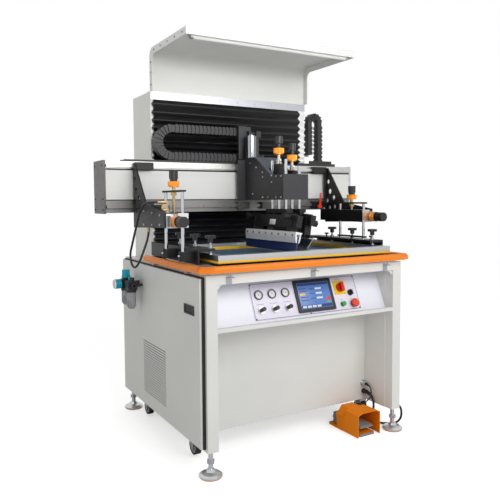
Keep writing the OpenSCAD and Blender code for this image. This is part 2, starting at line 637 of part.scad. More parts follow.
// Feet, castors, foot switch
foot_x = hw - foot_y;
foot_yy = [foot_y, cab_d - foot_y];
module levelling_feet() place() both() for (y = foot_yy) translate([foot_x, y, 0]) {
  color([0.93, 0.45, 0.15]) cylinder(h = 5, d = foot_d - 8);
  color([0.75, 0.76, 0.78]) rotate_extrude()
    polygon([[0, 5], [foot_d / 2, 5], [foot_d / 2, 11], [foot_d / 2 - 10, 18],
    [20, 24], [16, 34], [0, 34]]);
  color([0.80, 0.81, 0.83]) cylinder(h = cab_low + 26, d = spindle_d);
  color([0.70, 0.71, 0.73]) translate([0, 0, 58]) cylinder(h = 14, d = 34, $fn = 6);
}
castor_y = [230, cab_d - 190];
castor_x = hw - 52;
axle_z = 12 + castor_d / 2;
module castor_forks() place() both() for (y = castor_y) translate([castor_x, y, 0])
  color([0.62, 0.63, 0.64]) {
  bx(-32, 32, -38, 38, cab_low - 4, cab_low);
  rod_z(0, 0, cab_low - 12, 8.5, 56);
  bx(-20, 20, -26, 26, cab_low - 16, cab_low - 11);
  for (s = [-1, 1]) translate([s * 17 - 1.5, 0, 0]) along_x(0, 3) {
    polygon([[-26, cab_low - 13], [26, cab_low - 13], [12, axle_z], [-12, axle_z]]);
    translate([0, axle_z]) circle(12);
  }
  rod_x(-20, 0, axle_z, 40, 8);
}
module castor_wheel(y) both() translate([castor_x, y, axle_z]) {
  color([0.16, 0.16, 0.17]) difference() {
    rod_x(-13, 0, 0, 26, castor_d);
    rod_x(-14, 0, 0, 28, castor_d - 18);
  }
  color([0.55, 0.56, 0.57]) difference() {
    rod_x(-12, 0, 0, 24, castor_d - 18);
    rod_x(-13, 0, 0, 26, 8 + 2 * run);
    for (a = [0:60:300]) rotate([a, 0, 0]) rod_x(-13, 0, 18, 26, 9);
  }
}
module front_castor_wheels() place() castor_wheel(castor_y[0]);
module rear_castor_wheels() place() castor_wheel(castor_y[1]);

// foot switch: base, arched guard open to the operator, pedal on a cross pin
fs_x = 337.5;
fs_w = 137;
fs_d = 226;
fs_h = 121;
fs_hole_x = 38;
fs_hole_y = [28, 148];
fs_y = 9;
fs_cord = -12;
fs_guard = 165;
fs_step = 92;
axle_y = 136;
axle_h = 40;
// The guard's front half is a wide tunnel, its rear half a narrower hump
module guard_front(t) polygon([
  [-fs_w / 2 + t, 3 - t], [-fs_w / 2 + t, fs_h - 11 - t * 0.7], [-41 + t * 0.2, fs_h - t],
  [41 - t * 0.2, fs_h - t], [fs_w / 2 - t, fs_h - 11 - t * 0.7], [fs_w / 2 - t, 3 - t]]);
module guard_rear(t) polygon([
  [-fs_w / 2 + t, 3 - t], [-fs_w / 2 + t, 78 - t * 0.7], [-54 + t, 84 - t * 0.7],
    [-34 + t * 0.5, fs_h - 9 - t],
  [34 - t * 0.5, fs_h - 9 - t], [54 - t, 84 - t * 0.7], [fs_w / 2 - t, 78 - t * 0.7], [fs_w / 2 - t, 3 - t]]);
module foot_switch() place() translate([fs_x, fs_y, 0]) {
  color([0.55, 0.56, 0.58]) {
    difference() {
      linear_extrude(12) {
        translate([0, 70]) soft_rect(92, 114, 8);
        translate([0, (116 + fs_d) / 2]) soft_rect(fs_w - 5, fs_d - 116, 6);
      }
      for (y = fs_hole_y, s = [-1, 1]) rod_z(s * fs_hole_x, y, -1, 20, 7);
    }
    bx(-44, 44, 158, fs_d - 9, 11, 62);
  }
  color([0.96, 0.45, 0.08]) {
    difference() {
      along_y(0, fs_step) guard_front(0);
      along_y(-1, fs_step + 2) guard_front(4);
    }
    difference() {
      along_y(fs_step - 4, fs_step) intersection() {
        guard_front(0); translate([-fs_w, 76]) square([2 * fs_w, fs_h]); }
      along_y(fs_step - 5, fs_step + 1) guard_rear(4);
    }
    difference() {
      along_y(fs_step - 1, fs_guard) guard_rear(0);
      along_y(fs_step - 2, fs_guard - 4) guard_rear(4);
      bx(-fs_w, fs_w, fs_guard - 6, fs_guard + 1, 0, 60);
      rod_x(-80, axle_y, axle_h, 160, 8);
    }
    for (s = [-1, 1]) rod_x(s * (fs_w / 2 + 1) - 3, 119, 60, 6, 20);
  }
  color([0.70, 0.71, 0.72]) rod_x(-fs_w / 2 + 1, axle_y, axle_h, fs_w - 2, 8);
  color([0.12, 0.12, 0.12]) difference() {
    rod_y(fs_cord, fs_d - 26, 24, 31, 12);
    rod_y(fs_cord, fs_d + 1, 24, 5, 6.4);
  }
}
module pedal() place() translate([fs_x, fs_y, 0]) color([0.42, 0.43, 0.45]) difference() {
  union() {
    along_x(-40, 40) polygon([[20, 44], [20, 37], [106, 30], [136, 30], [148, 34], [148, 46], [136, 50],
      [106, 49.6]]);
    for (i = [0:4]) along_x(-36, 36) translate([30 + i * 18, 44.4 + i * 1.15]) circle(3, $fn = 16);
  }
  rod_x(-80, axle_y, axle_h, 160, 8 + 2 * run);
}

// Switches on the control panel
module main_switch() place() color([0.80, 0.10, 0.10]) face_at(main_c[0], main_c[1], 0) {
  translate([0, 0, 3 + gap]) difference() {
    union() {
      cylinder(h = 10, d = 42);
      translate([-7, -21, 9]) cube([14, 42, 17]);
      translate([0, 0, -15 - gap]) cylinder(h = 16 + gap, d = 6);
    }
    for (s = [-1, 1]) translate([s * 15, -2, 8]) cube([4, 4, 5], center = true);
  }
}
module stop_button() place() color([0.82, 0.08, 0.08]) face_at(stop_c[0], stop_c[1], 0) {
  translate([0, 0, -11]) cylinder(h = 24, d = 12);
  translate([0, 0, 10]) rotate_extrude()
    polygon([[0, 0], [18, 0], [20, 3], [20, 9], [16, 13], [8, 14], [0, 14]]);
}
module start_button() place() color([0.10, 0.62, 0.28]) face_at(start_c[0], start_c[1], 0) {
  translate([0, 0, -11]) cylinder(h = 20, d = 12);
  translate([0, 0, 8]) cylinder(h = 6, d = 22);
}
module selector() place() color([0.13, 0.13, 0.14]) face_at(sel_c[0], sel_c[1], 0) {
  translate([0, 0, -11]) cylinder(h = 16, d = 12);
  translate([0, 0, 3 + gap]) cylinder(h = 7, d = 25);
  translate([-4, -12.5, 9]) cube([8, 25, 12]);
}
module regulator_knobs() place() for (x = gauge_x) color([0.16, 0.16, 0.17]) face_at(x, reg_s, 0) {
  translate([0, 0, -11]) cylinder(h = 21, d = 6);
  translate([0, 0, 6 + 3.5]) fluted(reg_d, 22, 12);
}

// Side door with its louvre, latch and air preparation unit
louv_y = 526;
louv_z = door_z0 + 68;
latch_y = 118;
latch_z = 681 - 830 + cab_top;
hinge_y = cab_d - door_inset + 8;
module side_door() place() {
  color([0.80, 0.80, 0.78]) difference() {
    bx(-door_out, -door_x, door_inset, cab_d - door_inset, door_z0, door_z1);
    bx(-door_x - door_t, -door_x + 1, door_inset + 3, cab_d - door_inset - 3, door_z0 + 3, door_z1 - 3);
    translate([-door_out, louv_y, louv_z]) louvre_row(louvres, 290, 12);
    bx(-door_out - 1, -door_out + 5, latch_y - 44, latch_y + 44, latch_z - 16, latch_z + 16);
  }
  color([0.12, 0.12, 0.12]) difference() {
    bx(-door_x - 6, -door_x, door_inset + 8, cab_d - door_inset - 8, door_z0 + 8, door_z1 - 8);
    bx(-door_x - 7, -door_x + 1, door_inset + 20, cab_d - door_inset - 20, door_z0 + 20, door_z1 - 20);
  }
  // bezel and cup of the latch, seal along the front and top edges
  color([0.12, 0.12, 0.12]) {
    difference() {
      union() {
        bx(-door_out - 3, -door_out + 1, latch_y - 49, latch_y + 49, latch_z - 20, latch_z + 20);
        bx(-door_out + 0.5, -door_out + 14, latch_y - 44.5, latch_y + 44.5, latch_z - 16.5, latch_z + 16.5);
      }
      bx(-door_out - 4, -door_out + 11, latch_y - 40, latch_y + 40, latch_z - 13, latch_z + 14);
      rod_y(-door_out, latch_y - 43, latch_z + 11, 86, 4 + 2 * run);
    }
    bx(-door_x - 12, -door_x, door_inset - 5.3, door_inset - gap, door_z0, door_z1 + 5);
    bx(-door_x - 12, -door_x, door_inset, cab_d - door_inset, door_z1 + gap, door_z1 + 5);
  }
  // hinge leaves and knuckles at the rear edge
  color([0.6, 0.6, 0.62]) for (z = [door_z0 + 90, door_z1 - 150]) {
    difference() { rod_z(-door_x - 8, hinge_y, z, 60, 14);
      rod_z(-door_x - 8, hinge_y, z - 1, 62, 6 + 2 * run); }
    bx(-door_x - 10, -door_x - 6.2, cab_d - door_inset - 20, hinge_y - 6, z, z + 60);
  }
}
module hinge_pins() for (z = [door_z0 + 90, door_z1 - 150]) {
  rod_z(-door_x - 8, hinge_y, z - 24, 88, 6);
  for (k = [-24, 60.4]) {
    rod_z(-door_x - 8, hinge_y, z + k, 23.5, 14);
    bx(-door_x - 8, -hw, hinge_y - 3, hinge_y + 3, z + k, z + k + 23.5);
  }
}
// paddle on a cross pin near its upper edge
module door_latch() place() color([0.55, 0.56, 0.57]) {
  rod_y(-door_out, latch_y - 42, latch_z + 11, 84, 4);
  bx(-door_out - 1.2, -door_out + 1.8, latch_y - 39, latch_y + 39, latch_z - 11, latch_z + 11);
}

fr_x = -door_out - 54;
fr_y = 684;
fr_z = 683 - 830 + cab_top;
module bowl(y, l) translate([fr_x, y, fr_z]) {
  difference() {
    rotate([180, 0, 0]) rotate_extrude() polygon([[0, 0], [23, 0], [23, l - 16], [15, l - 3], [7, l],
      [0, l]]);
    for (a = [150, 180, 210, 240]) rotate(a) translate([26, 0, -l + 28]) rotate([0, -90, 0]) linear_extrude(8)
      soft_rect(34, 5, 2.4);
  }
}
module air_unit() place() {
  color([0.10, 0.10, 0.11]) {
    for (y = [fr_y, fr_y + 78]) {
      rod_z(fr_x, y, fr_z, 14, 50);
      bx(fr_x - 24, fr_x + 24, y - 26, y + 26, fr_z + 12, fr_z + 56);
    }
    bx(fr_x - 14, fr_x + 14, fr_y + 25, fr_y + 53, fr_z + 20, fr_z + 48);
    difference() { rod_y(fr_x, fr_y - 44, fr_z + 34, 19, 26); rod_y(fr_x, fr_y - 45, fr_z + 34, 20, 13); }
    rod_z(fr_x, fr_y + 78, fr_z + 55, 10, 40);
    bx(fr_x + 20, -door_out, fr_y + 30, fr_y + 48, fr_z + 18, fr_z + 50);
    // elbow towards the door
    rod_z(fr_x + 4, fr_y - 4, fr_z + 55, 16, 22);
    rod_x(fr_x + 20, fr_y - 12, fr_z + 34, -door_out - fr_x - 20, 12);
  }
  color([0.62, 0.63, 0.64]) { bowl(fr_y, 84); bowl(fr_y + 78, 74); }
  color([0.02, 0.62, 0.74]) {
    rod_x(fr_x - 58, fr_y + 78, fr_z + 34, 30, 48);
    rod_z(fr_x + 2, fr_y + 24, fr_z + 55, 18, 18);
    translate([fr_x, fr_y, fr_z - 12]) rotate([0, -90, -24]) translate([0, 0, 20]) cylinder(h = 6, d = 14);
  }
  color([0.85, 0.85, 0.86]) rod_x(fr_x - 62, fr_y + 78, fr_z + 34, 4.5, 44);
  color([0.1, 0.1, 0.1]) rod_x(fr_x - 29, fr_y + 78, fr_z + 34, 6, 14);
}
module air_unit_knob() place() color([0.02, 0.62, 0.74]) translate([fr_x, fr_y + 78, fr_z + 65 + gap]) {
  cylinder(h = 8, d = 44);
  translate([0, 0, 7]) fluted(38, 31, 14);
}

// Beam and what is fixed to it
tray = [-640, 330];
module beam() place() {
  color([0.90, 0.90, 0.89]) along_x(bx0 + cap_t, bx1 - cap_t) difference() {
    polygon([[by0, bz0], [by1, bz0], [by1, bz1], [by0, bz1],
    [by0, bz1 - 34], [by0 + 5, bz1 - 36], [by0 + 5, bz1 - 40], [by0, bz1 - 42], [by0, bz1 - 62],
      [by0 + 2, bz1 - 62],
    [by0 + 2, bz1 - 80], [by0, bz1 - 80], [by0, bz0 + 62], [by0 + 5, bz0 + 61], [by0 + 5, bz0 + 57],
    [by0, bz0 + 56]]);
    for (z = [bz0 + 10, bz0 + beam_h / 2 + 5]) translate([by0 + 12, z])
      square([beam_d - 22, beam_h / 2 - 15]);
  }
  color([0.32, 0.33, 0.35]) {
    bx(bx0, bx0 + cap_t - gap, by0 - 2, by1 + 28, bz0 - 4, bz1 + 3);
    for (y = [by0 + 14, by1 + 12], z = [bz0 + 14, bz0 + 64, bz1 - 20])
      translate([bx0 + 0.5, y, z]) rotate([0, -90, 0]) screw(9, 3);
  }
  color([0.72, 0.73, 0.75]) difference() {
    bx(bx1 - cap_t + gap, bx1, by0 - 1, by1 + 2, bz0 - 2, bz1 + 2);
    rod_x(bx1 - 4, (by0 + by1) / 2, bz0 + 60, 5, 30);
  }
  // guide rails, joined to the front face
  color([0.72, 0.73, 0.75]) for (z = [rail_zu, rail_zl]) difference() {
    bx(bx0 + cap_t + gap, bx1 - cap_t - gap, by0 - rail_s, by0 - gap, z - 7, z + 7);
    for (x = [bx0 + 60:110:bx1 - 40]) rod_y(x, by0 - rail_s - 1, z, 5, 8);
  }
  // chain tray on top, strip that carries the tower chain
  color([0.22, 0.22, 0.23]) {
    bx(tray[0], tray[1], by1 - 64, by1 - 6, bz1 + gap, bz1 + 3);
    for (y = [by1 - 64, by1 - 9]) bx(tray[0], tray[1], y, y + 3, bz1 + 3 + gap, bz1 + 14);
    bx(392, 660, by1 - 20, by1, bz1 + gap, bz1 + 22);
    bx(tw + 14, 660, by1 + gap, by1 + 13 - gap, bz1 + gap, bz1 + 22);
    bx(500, 660, by1 + 13, by1 + 19, bz1 - 60, bz1 + 40);
  }
}
// drive motor with its gearbox behind the right end
module beam_drive() {
  x = bx1 - cap_t - 66;
  color([0.45, 0.46, 0.48]) bx(x - 4, x + 62, by1, by1 + 10, bz0 + 16, bz0 + 92);
  color([0.20, 0.21, 0.22]) {
    bx(x, x + 58, by1 + 9, by1 + 52, bz0 + 22, bz0 + 86);
    rod_y(x + 29, by1 + 51, bz0 + 54, 84, 56);
    bx(x + 14, x + 44, by1 + 60, by1 + 100, bz0 + 76, bz0 + 96);
  }
}
module lift_plate() place() {
  beam_drive();
  color([0.45, 0.46, 0.48]) difference() {
    union() {
      bx(-tw + 34, tw - 34, by1, by1 + 16, bz0 + 4, bz1 - 4);
      both() bx(guide_x - 42, guide_x + 42, by1 + 15, guide_y + 42, bz0 + 40, bz0 + 190);
      bx(-45, 45, by1 + 15, guide_y + 38, bz0 + 62, bz0 + 84);
    }
    both() rod_z(guide_x, guide_y, bz0, 400, guide_d + 2 * run);
    rod_z(0, guide_y, bz0 + 50, 100, 20.6);
  }
  color([0.82, 0.83, 0.85]) {
    rod_z(0, guide_y, cab_top + 36, bz0 + 100 - cab_top - 36, 20);
    rod_z(0, guide_y, cab_top + 26, 20, 50 - 2 * run);
    for (z = [bz0 + 85, bz0 + 48]) rod_z(0, guide_y, z, 13, 32);
  }
}

// Drag chains
ch_y0 = by1 - 58;
ch_y1 = by1 - 12;
ch_zc = bz1 + 15 + chain_r;
ch_xc = -388;
ch_end = -20;
link_p = 22;
// straight run of links between x0 and x1 with its lower face at z
module links_x(x0, x1, z) {
  n = floor((x1 - x0) / link_p);
  h = chain_t / 2;
  bx(x0, x1, ch_y0 + 4, ch_y1 - 4, z + 4, z + chain_t - 4);
  for (i = [0:n - 1]) translate([x1 - (i + 1) * link_p + 1, ch_y1, z]) rotate([90, 0, 0])
    linear_extrude(ch_y1 - ch_y0) polygon([[0, 1], [link_p - 7, 1], [link_p - 3, h], [link_p - 7, 2 * h - 1],
      [0, 2 * h - 1], [4, h]]);
}
module chain_upper() color([0.20, 0.20, 0.22]) place()
  links_x(ch_xc + gap, ch_end - gap, ch_zc + chain_r - chain_t);
module chain_bend() color([0.20, 0.20, 0.22]) place() {
  translate([ch_xc, ch_y1, ch_zc]) rotate([90, 0, 0]) {
    translate([0, 0, 5]) difference() {
      cylinder(h = ch_y1 - ch_y0 - 10, r = chain_r - 3, $fn = 72);
      translate([0, 0, -1]) cylinder(h = 80, r = chain_r - chain_t + 3, $fn = 72);
      translate([0, -200, -1]) cube([200, 400, 80]);
    }
    for (a = [102:15.6:260]) rotate(a) translate([chain_r - chain_t + 1, -6, 0])
      cube([chain_t - 2, 10, ch_y1 - ch_y0]);
  }
  links_x(ch_xc, 150, ch_zc - chain_r);
}
// tower chain: an upright U beside the tower
lc_x = tw + 78;
lc_r = 52;
lc_t = 34;
lc_y0 = by1 + 19 + gap;
lc_y1 = lc_y0 + 46;
lc_z = tz1 - 94;
module lift_chain() color([0.20, 0.20, 0.22]) place() {
  translate([lc_x, lc_y1, lc_z]) rotate([90, 0, 0]) {
    translate([0, 0, 5]) difference() {
      cylinder(h = 36, r = lc_r - 3, $fn = 64);
      translate([0, 0, -1]) cylinder(h = 60, r = lc_r - lc_t + 3, $fn = 64);
      translate([-100, -200, -1]) cube([200, 200, 80]);
    }
    for (a = [12:26:168]) rotate(a) translate([lc_r - lc_t + 1, -4, 0]) cube([lc_t - 2, 8, 46]);
  }
  for (s = [[1, bz1 - 40], [-1, lc_z - 190]]) {
    x0 = s[0] > 0 ? lc_x + lc_r - lc_t : lc_x - lc_r;
    n = floor((lc_z - s[1]) / 24);
    bx(x0 + 3, x0 + lc_t - 3, lc_y0 + 5, lc_y1 - 5, s[1], lc_z);
    for (i = [0:n - 1]) bx(x0 + 1, x0 + lc_t - 1, lc_y0, lc_y1, s[1] + i * 24 + 2, s[1] + i * 24 + 19);
  }
}

// Print head
plate_x0 = cx0 - 42;
plate_x1 = cx1 + 42;
// screws of the cheek, from its lower front corner
cheek_screws = [[240, 161], [182, 134], [180, 111], [100, 115], [62, 110], [18, 110], [100, 84], [276, 30],
  [179, 13],
  [134, 13], [62, 12], [19, 12], [300, 186]];
module ride_block(x0, x1, z) difference() {
  bx(x0, x1, ride_y - 10 + gap, by0 - 0.6, z - 17, z + 17);
  bx(x0 - 1, x1 + 1, by0 - rail_s - gap, by0 + 1, z - 7 - gap, z + 7 + gap);
}
// cheek of the box: level top, slope up to the back
box_top = cz0 + 213;
slope_y = [302, 452];
module cheek() polygon([[cy0 + 8 + gap, cz0], [ride_y - 22 - gap, cz0], [ride_y - 22 - gap, box_top],
  [slope_y[1], box_top], [slope_y[0], cz1], [cy0 + 8 + gap, cz1]]);
module carriage() place() {
  color([0.24, 0.25, 0.27]) {
    // back plate, cheeks, front and floor of the box
    bx(plate_x0, plate_x1, ride_y - 22, ride_y - 10, cz0, bz1 + 18 - gap);
    for (x = [cx0, cx1 - 8]) along_x(x, x + 8) cheek();
    bx(cx0, cx1, cy0, cy0 + 8, cz0, cz1);
    difference() {
      bx(cx0 + 8 + gap, cx1 - 8 - gap, cy0 + 8 + gap, ride_y - 22 - gap, cz0, cz0 + 8);
      for (x = [sq_x, fl_x]) {
        rod_z(x, head_y, cz0 - 1, 12, 24);
        for (s = [-1, 1]) rod_z(x, head_y + s * 60, cz0 - 1, 12, 14 + 2 * gap);
      }
      bx(cx0 + 25, cx1 - 25, 400, 500, cz0 - 1, cz0 + 9);
    }
    // top plate over the beam, post and bracket of the chain end
    bx(-20, 100, ride_y - 22, by1 - 64, bz1 + 18, bz1 + 30);
    bx(-20, 53, by1 - 76, by1 - 67 - gap, bz1 + 30 + gap, ch_zc + chain_r + 5);
    bx(ch_end, ch_end + 8, by1 - 67, ch_y1, ch_zc + chain_r - chain_t - 6, ch_zc + chain_r + 2 - gap);
    bx(ch_end, ch_end + 50, by1 - 67, ch_y1, ch_zc + chain_r + 2, ch_zc + chain_r + 8);
  }
  // sloped cover, cut out around the rods
  color([0.40, 0.43, 0.48]) difference() {
    along_x(cx0 + 8 + gap, cx1 - 8 - gap) polygon([[slope_y[0], cz1 - 4], [slope_y[1] + 1, box_top - 3],
      [ride_y - 22 - gap, box_top - 3], [ride_y - 22 - gap, box_top], [slope_y[1], box_top],
        [slope_y[0], cz1 - 1]]);
    for (x = [sq_x, fl_x]) bx(x - 16, x + 16, slope_y[0] - 1, head_y + 72, cz1 - 10, box_top);
  }
  color([0.45, 0.46, 0.48]) for (x = [plate_x0 + 4, plate_x1 - 74], z = [rail_zu, rail_zl])
    ride_block(x, x + 70, z);
  // screws on the cheeks and at the slot of the left one
  color([0.80, 0.80, 0.80]) for (p = cheek_screws)
    translate([cx0 + 0.5, cy0 + p[0], cz0 + p[1]]) rotate([0, -90, 0]) screw(8, 3);
  // elbow and conduit down to the box
  color([0.08, 0.08, 0.08]) {
    rod_z(85, by1 - 90, bz1 + 30, 117, 16);
    translate([85, by1 - 90, bz1 + 160]) cube([28, 28, 34], center = true);
    rod_x(40, by1 - 90, bz1 + 165, 34, 16);
    bx(30, 42, by1 - 98, by1 - 76 - gap, bz1 + 155, bz1 + 178);
  }
}
cyl_top = [cz0 + 170, cz0 + 140];
module head_cylinders() place() {
  for (i = [0, 1]) let (x = [sq_x, fl_x][i]) {
    color([0.72, 0.73, 0.75]) difference() {
      bx(x - 13.7, x + 13.7, head_y - 24, head_y + 24, cz0 + 8, cyl_top[i]);
      rod_z(x, head_y, cz0 - 1, cyl_top[i] - cz0 + 30, 16 + 2 * run);
      for (s = [-1, 1], t = [-1, 1]) rod_z(x + s * 9.4, head_y + t * 18, cyl_top[i] - 6, 12, 5);
    }
    // guide bushings of the side rods
    color([0.60, 0.61, 0.63]) for (s = [-1, 1]) difference() {
      rod_z(x, head_y + s * 60, cz0 + 8, 34, 27);
      rod_z(x, head_y + s * 60, cz0 - 1, 60, 14 + 2 * run);
    }
  }
  // polished air reservoir on the top plate
  color([0.85, 0.86, 0.88]) {
    rod_z(35, by1 - 100 - 10, bz1 + 30, 118, 58);
    rod_z(35, by1 - 110, bz1 + 147, 6, 40);
  }
}
// rods, cross block and tilting bar of a blade; i = 0 squeegee, 1 flood bar
module head_slide(i) {
  x = [sq_x, fl_x][i];
  color([0.84, 0.85, 0.87]) {
    rod_z(x, head_y, pivot_z + 30, cyl_top[i] + 34 - pivot_z - 30, 16);
    for (s = [-1, 1]) rod_z(x, head_y + s * 60, pivot_z + 30, cyl_top[i] - pivot_z - 10, 14);
  }
  color([0.16, 0.16, 0.17]) {
    bx(x - 18, x + 18, head_y - 90, head_y + 90, pivot_z + 26, pivot_z + 44);
    for (s = [-1, 1]) bx(x - 12, x + 12, head_y + s * 76 - 7, head_y + s * 76 + 7, pivot_z - 6, pivot_z + 28);
  }
}
module leaned(x, a) translate([x, 0, pivot_z]) rotate([0, a, 0]) children();
module squeegee_mount() place() {
  head_slide(0);
  leaned(sq_x, squeegee_lean) {
    color([0.13, 0.13, 0.14]) {
      bx(-15, 15, blade_y - blade_l / 2 + 10, blade_y + blade_l / 2 - 10, -42, 14);
      for (y = [blade_y - 165, blade_y + 165]) {
        bx(-19, 19, y - 16, y + 16, -62, 20);
        rod_x(-44, y, 2, 30, 14);
        translate([-44, y, 2]) rotate([0, -90, 0]) fluted(32, 14, 6);
      }
    }
  }
}
flood_lean = 36;
module flood_mount() place() {
  head_slide(1);
  leaned(fl_x, 8) {
    color([0.13, 0.13, 0.14]) {
      bx(-14, 14, blade_y - blade_l / 2 + 10, blade_y + blade_l / 2 - 10, -34, 14);
      for (y = [blade_y - 165, blade_y + 165]) {
        bx(-18, 18, y - 16, y + 16, -92, 20);
        rod_x(14, y, -20, 28, 14);
        translate([42, y, -20]) rotate([0, 90, 0]) fluted(30, 14, 6);
      }
      bx(-10, 10, blade_y - blade_l / 2 + 10, blade_y + blade_l / 2 - 10, -92, -78);
    }
  }
}
module squeegee_blade() place() leaned(sq_x, squeegee_lean) {
  y0 = blade_y - blade_l / 2;
  y1 = blade_y + blade_l / 2;
  // extruded holder: flanged top, hollow body, jaws on the rubber
  color([0.80, 0.81, 0.82]) difference() {
    along_y(y0, y1) difference() {
      polygon([[-18, -62.3], [18, -62.3], [18, -68], [13, -71], [13, -88], [9, -112], [-9, -112],
        [-18, -84], [-18, -70]]);
      translate([-1, -78]) soft_rect(18, 10, 3);
      translate([-4.2, -113]) square([8.4, 22]);
    }
    for (i = [0:7]) translate([-18, y0 + 22 + i * (blade_l - 44) / 7, -78]) rotate([0, 90, 0])
      cylinder(h = 3, d = 11);
  }
  color([0.72, 0.68, 0.58]) for (i = [0:7]) translate([-14.9, y0 + 22 + i * (blade_l - 44) / 7, -78])
    rotate([0, -90, 0]) screw(10, 6);
  color([0.06, 0.10, 0.28]) along_y(y0, y1)
    polygon([[-4.2, -91], [4.2, -91], [4.2, -144], [0, -152 / cos(squeegee_lean) + 1],
    [-4.2, -144]]);
}
module flood_blade() place() {
  y0 = blade_y - blade_l / 2;
  y1 = blade_y + blade_l / 2;
  // thin steel sheet under its clamping strip, curled at the lower edge
  leaned(fl_x, 8) {
    color([0.85, 0.86, 0.87]) bx(-20, 14, y0, y1, -96.3, -92.3);
  }
  translate([fl_x - 14, 0, pivot_z - 99]) rotate([0, flood_lean, 0])
    color([0.55, 0.57, 0.60]) bx(-1.2, 1.2, y0 + 1, y1 - 1, -61, 5);
}
// knob stack: brass stem, orange lock ring, black knob
module stack(z_stem) {
  color([0.80, 0.66, 0.32]) cylinder(h = z_stem, d = 16);
  color([0.96, 0.50, 0.10]) translate([0, 0, z_stem - 4]) {
    cylinder(h = 6, d = ring_d - 8);
    translate([0, 0, 5]) fluted(ring_d, 24, 30);
  }
  color([0.12, 0.12, 0.13]) translate([0, 0, z_stem + 24]) {
    cylinder(h = 24, d = 22);
    translate([0, 0, 23]) fluted(knob_d, 34, 12);
  }
}
module squeegee_knob() place() translate([sq_x, head_y, cyl_top[0] + 34 + gap]) stack(16);
module flood_knob() place() translate([fl_x, head_y, cyl_top[1] + 34 + gap]) stack(16);

// Screen arms: u runs inwards from the outer plate
module arm_side(s) if (s < 0) translate([arm_l, 0, 0]) children(); else translate([arm_r, 0, 0])
  mirror([1, 0, 0]) children();
module arm_ride(z) difference() {
  bx(10, 98, by0 - rail_s - 14, by0 - 0.6, z - 17, z + 17);
  bx(9, 99, by0 - rail_s - gap, by0 + 1, z - 7 - gap, z + 7 + gap);
}
module screen_arm(s) place() arm_side(s) {
  color([0.20, 0.20, 0.22]) {
    // gusset plate with its round holes
    difference() {
      along_x(0, 8) polygon([[arm_y0 - 18, arm_z - 30], [arm_y1, arm_z - 42], [arm_y1, rail_zu + 12],
        [by0 - 34, rail_zu + 12],
        [400, arm_z + 68], [arm_y0 - 18, arm_z + 34]]);
      for (p = [[535, 182, 26], [520, 128, 30], [542, 78, 26], [486, 92, 28], [476, 44, 22], [520, 40, 20]])
        rod_x(-1, p[0], arm_z + p[1], 10, p[2]);
    }
    arm_ride(rail_zu);
    arm_ride(rail_zl);
    bx(7, 20, by0 - rail_s - 14, arm_y1, rail_zl - 17, rail_zu + 12);
    difference() {
      bx(7, 50, arm_y0, by0 - rail_s - 13, arm_z - 30, arm_z + 30);
      rod_y(feed_u, arm_y0 - 1, arm_z - 4, 40, 14 + 2 * run);
    }
    // bearing block of the rods
    difference() {
      bx(49, 94, rod_y - rod_gap / 2 - 15, rod_y + rod_gap / 2 + 15, arm_z - 30, arm_z + 30);
      for (t = [-1, 1]) rod_z(rod_u, rod_y + t * rod_gap / 2, arm_z - 40, 80, rod_d + 2 * run);
      rod_z(rod_u, rod_y, arm_z - 40, 80, 12 + 2 * gap);
    }
  }
  // silver plate at the feed screw, studs and white screws
  color([0.80, 0.81, 0.82]) {
    difference() {
      union() {
        bx(feed_u - 31, feed_u + 31, arm_y0 - 12, arm_y0, arm_z - 33, arm_z + 27);
        bx(feed_u - 22, feed_u + 12, feed_y, arm_y0, arm_z - 26, arm_z + 20);
      }
      rod_y(feed_u, feed_y - 1, arm_z - 4, 60, 14 + 2 * run);
      rod_z(rod_u, rod_y - rod_gap / 2, arm_z - 40, 80, 60);
    }
    for (p = [[230, 22], [320, 30], [420, 36], [230, -20], [320, -22], [420, -24]])
      translate([0, p[0], arm_z + p[1]]) rotate([0, -90, 0]) screw(9, 4);
  }
  color([0.70, 0.71, 0.72]) difference() {
    rod_y(feed_u, arm_y0, arm_z - 4, 2, 30);
    rod_y(feed_u, arm_y0 - 1, arm_z - 4, 4, 14 + 2 * run);
  }
}
module left_arm() {
  screen_arm(-1);
  // valve block and two hose fittings, one more under the arm
  place() arm_side(-1) {
    color([0.08, 0.08, 0.09]) bx(10, 46, 236, 392, arm_z + 30, arm_z + 64);
    color([0.85, 0.78, 0.60]) {
      for (z = [43, 76]) translate([0, 0, arm_z + z]) {
        rod_y(26, 222, 0, 15, 12); rod_x(12, 222, 0, 14, 11); }
      for (z = [43, 76]) rod_x(10, 222, arm_z + z, 8, 13);
    }
    color([0.08, 0.08, 0.09]) bx(12, 40, 232, 240, arm_z + 58, arm_z + 82);
    color([0.85, 0.78, 0.60]) rod_z(16, 408, arm_z - 40, 11, 12);
  }
}
module right_arm() {
  screen_arm(1);
  place() color([0.45, 0.46, 0.47]) rod_y(430, by0 - rail_s - 39.5, rail_zl - 11, 27, 12);
}
module lock_lever() place() color([0.90, 0.22, 0.12]) translate([430, by0 - rail_s - 33, rail_zl - 11]) {
  rotate([90, 0, 0]) difference() { cylinder(h = 14, d = 22); translate([0, 0, -1])
    cylinder(h = 8, d = 12 + 2 * run); }
  rotate([0, 4, 0]) along_y(-13, -8) polygon([[-6, 4], [6, 4], [4, 76], [-4, 76]]);
}
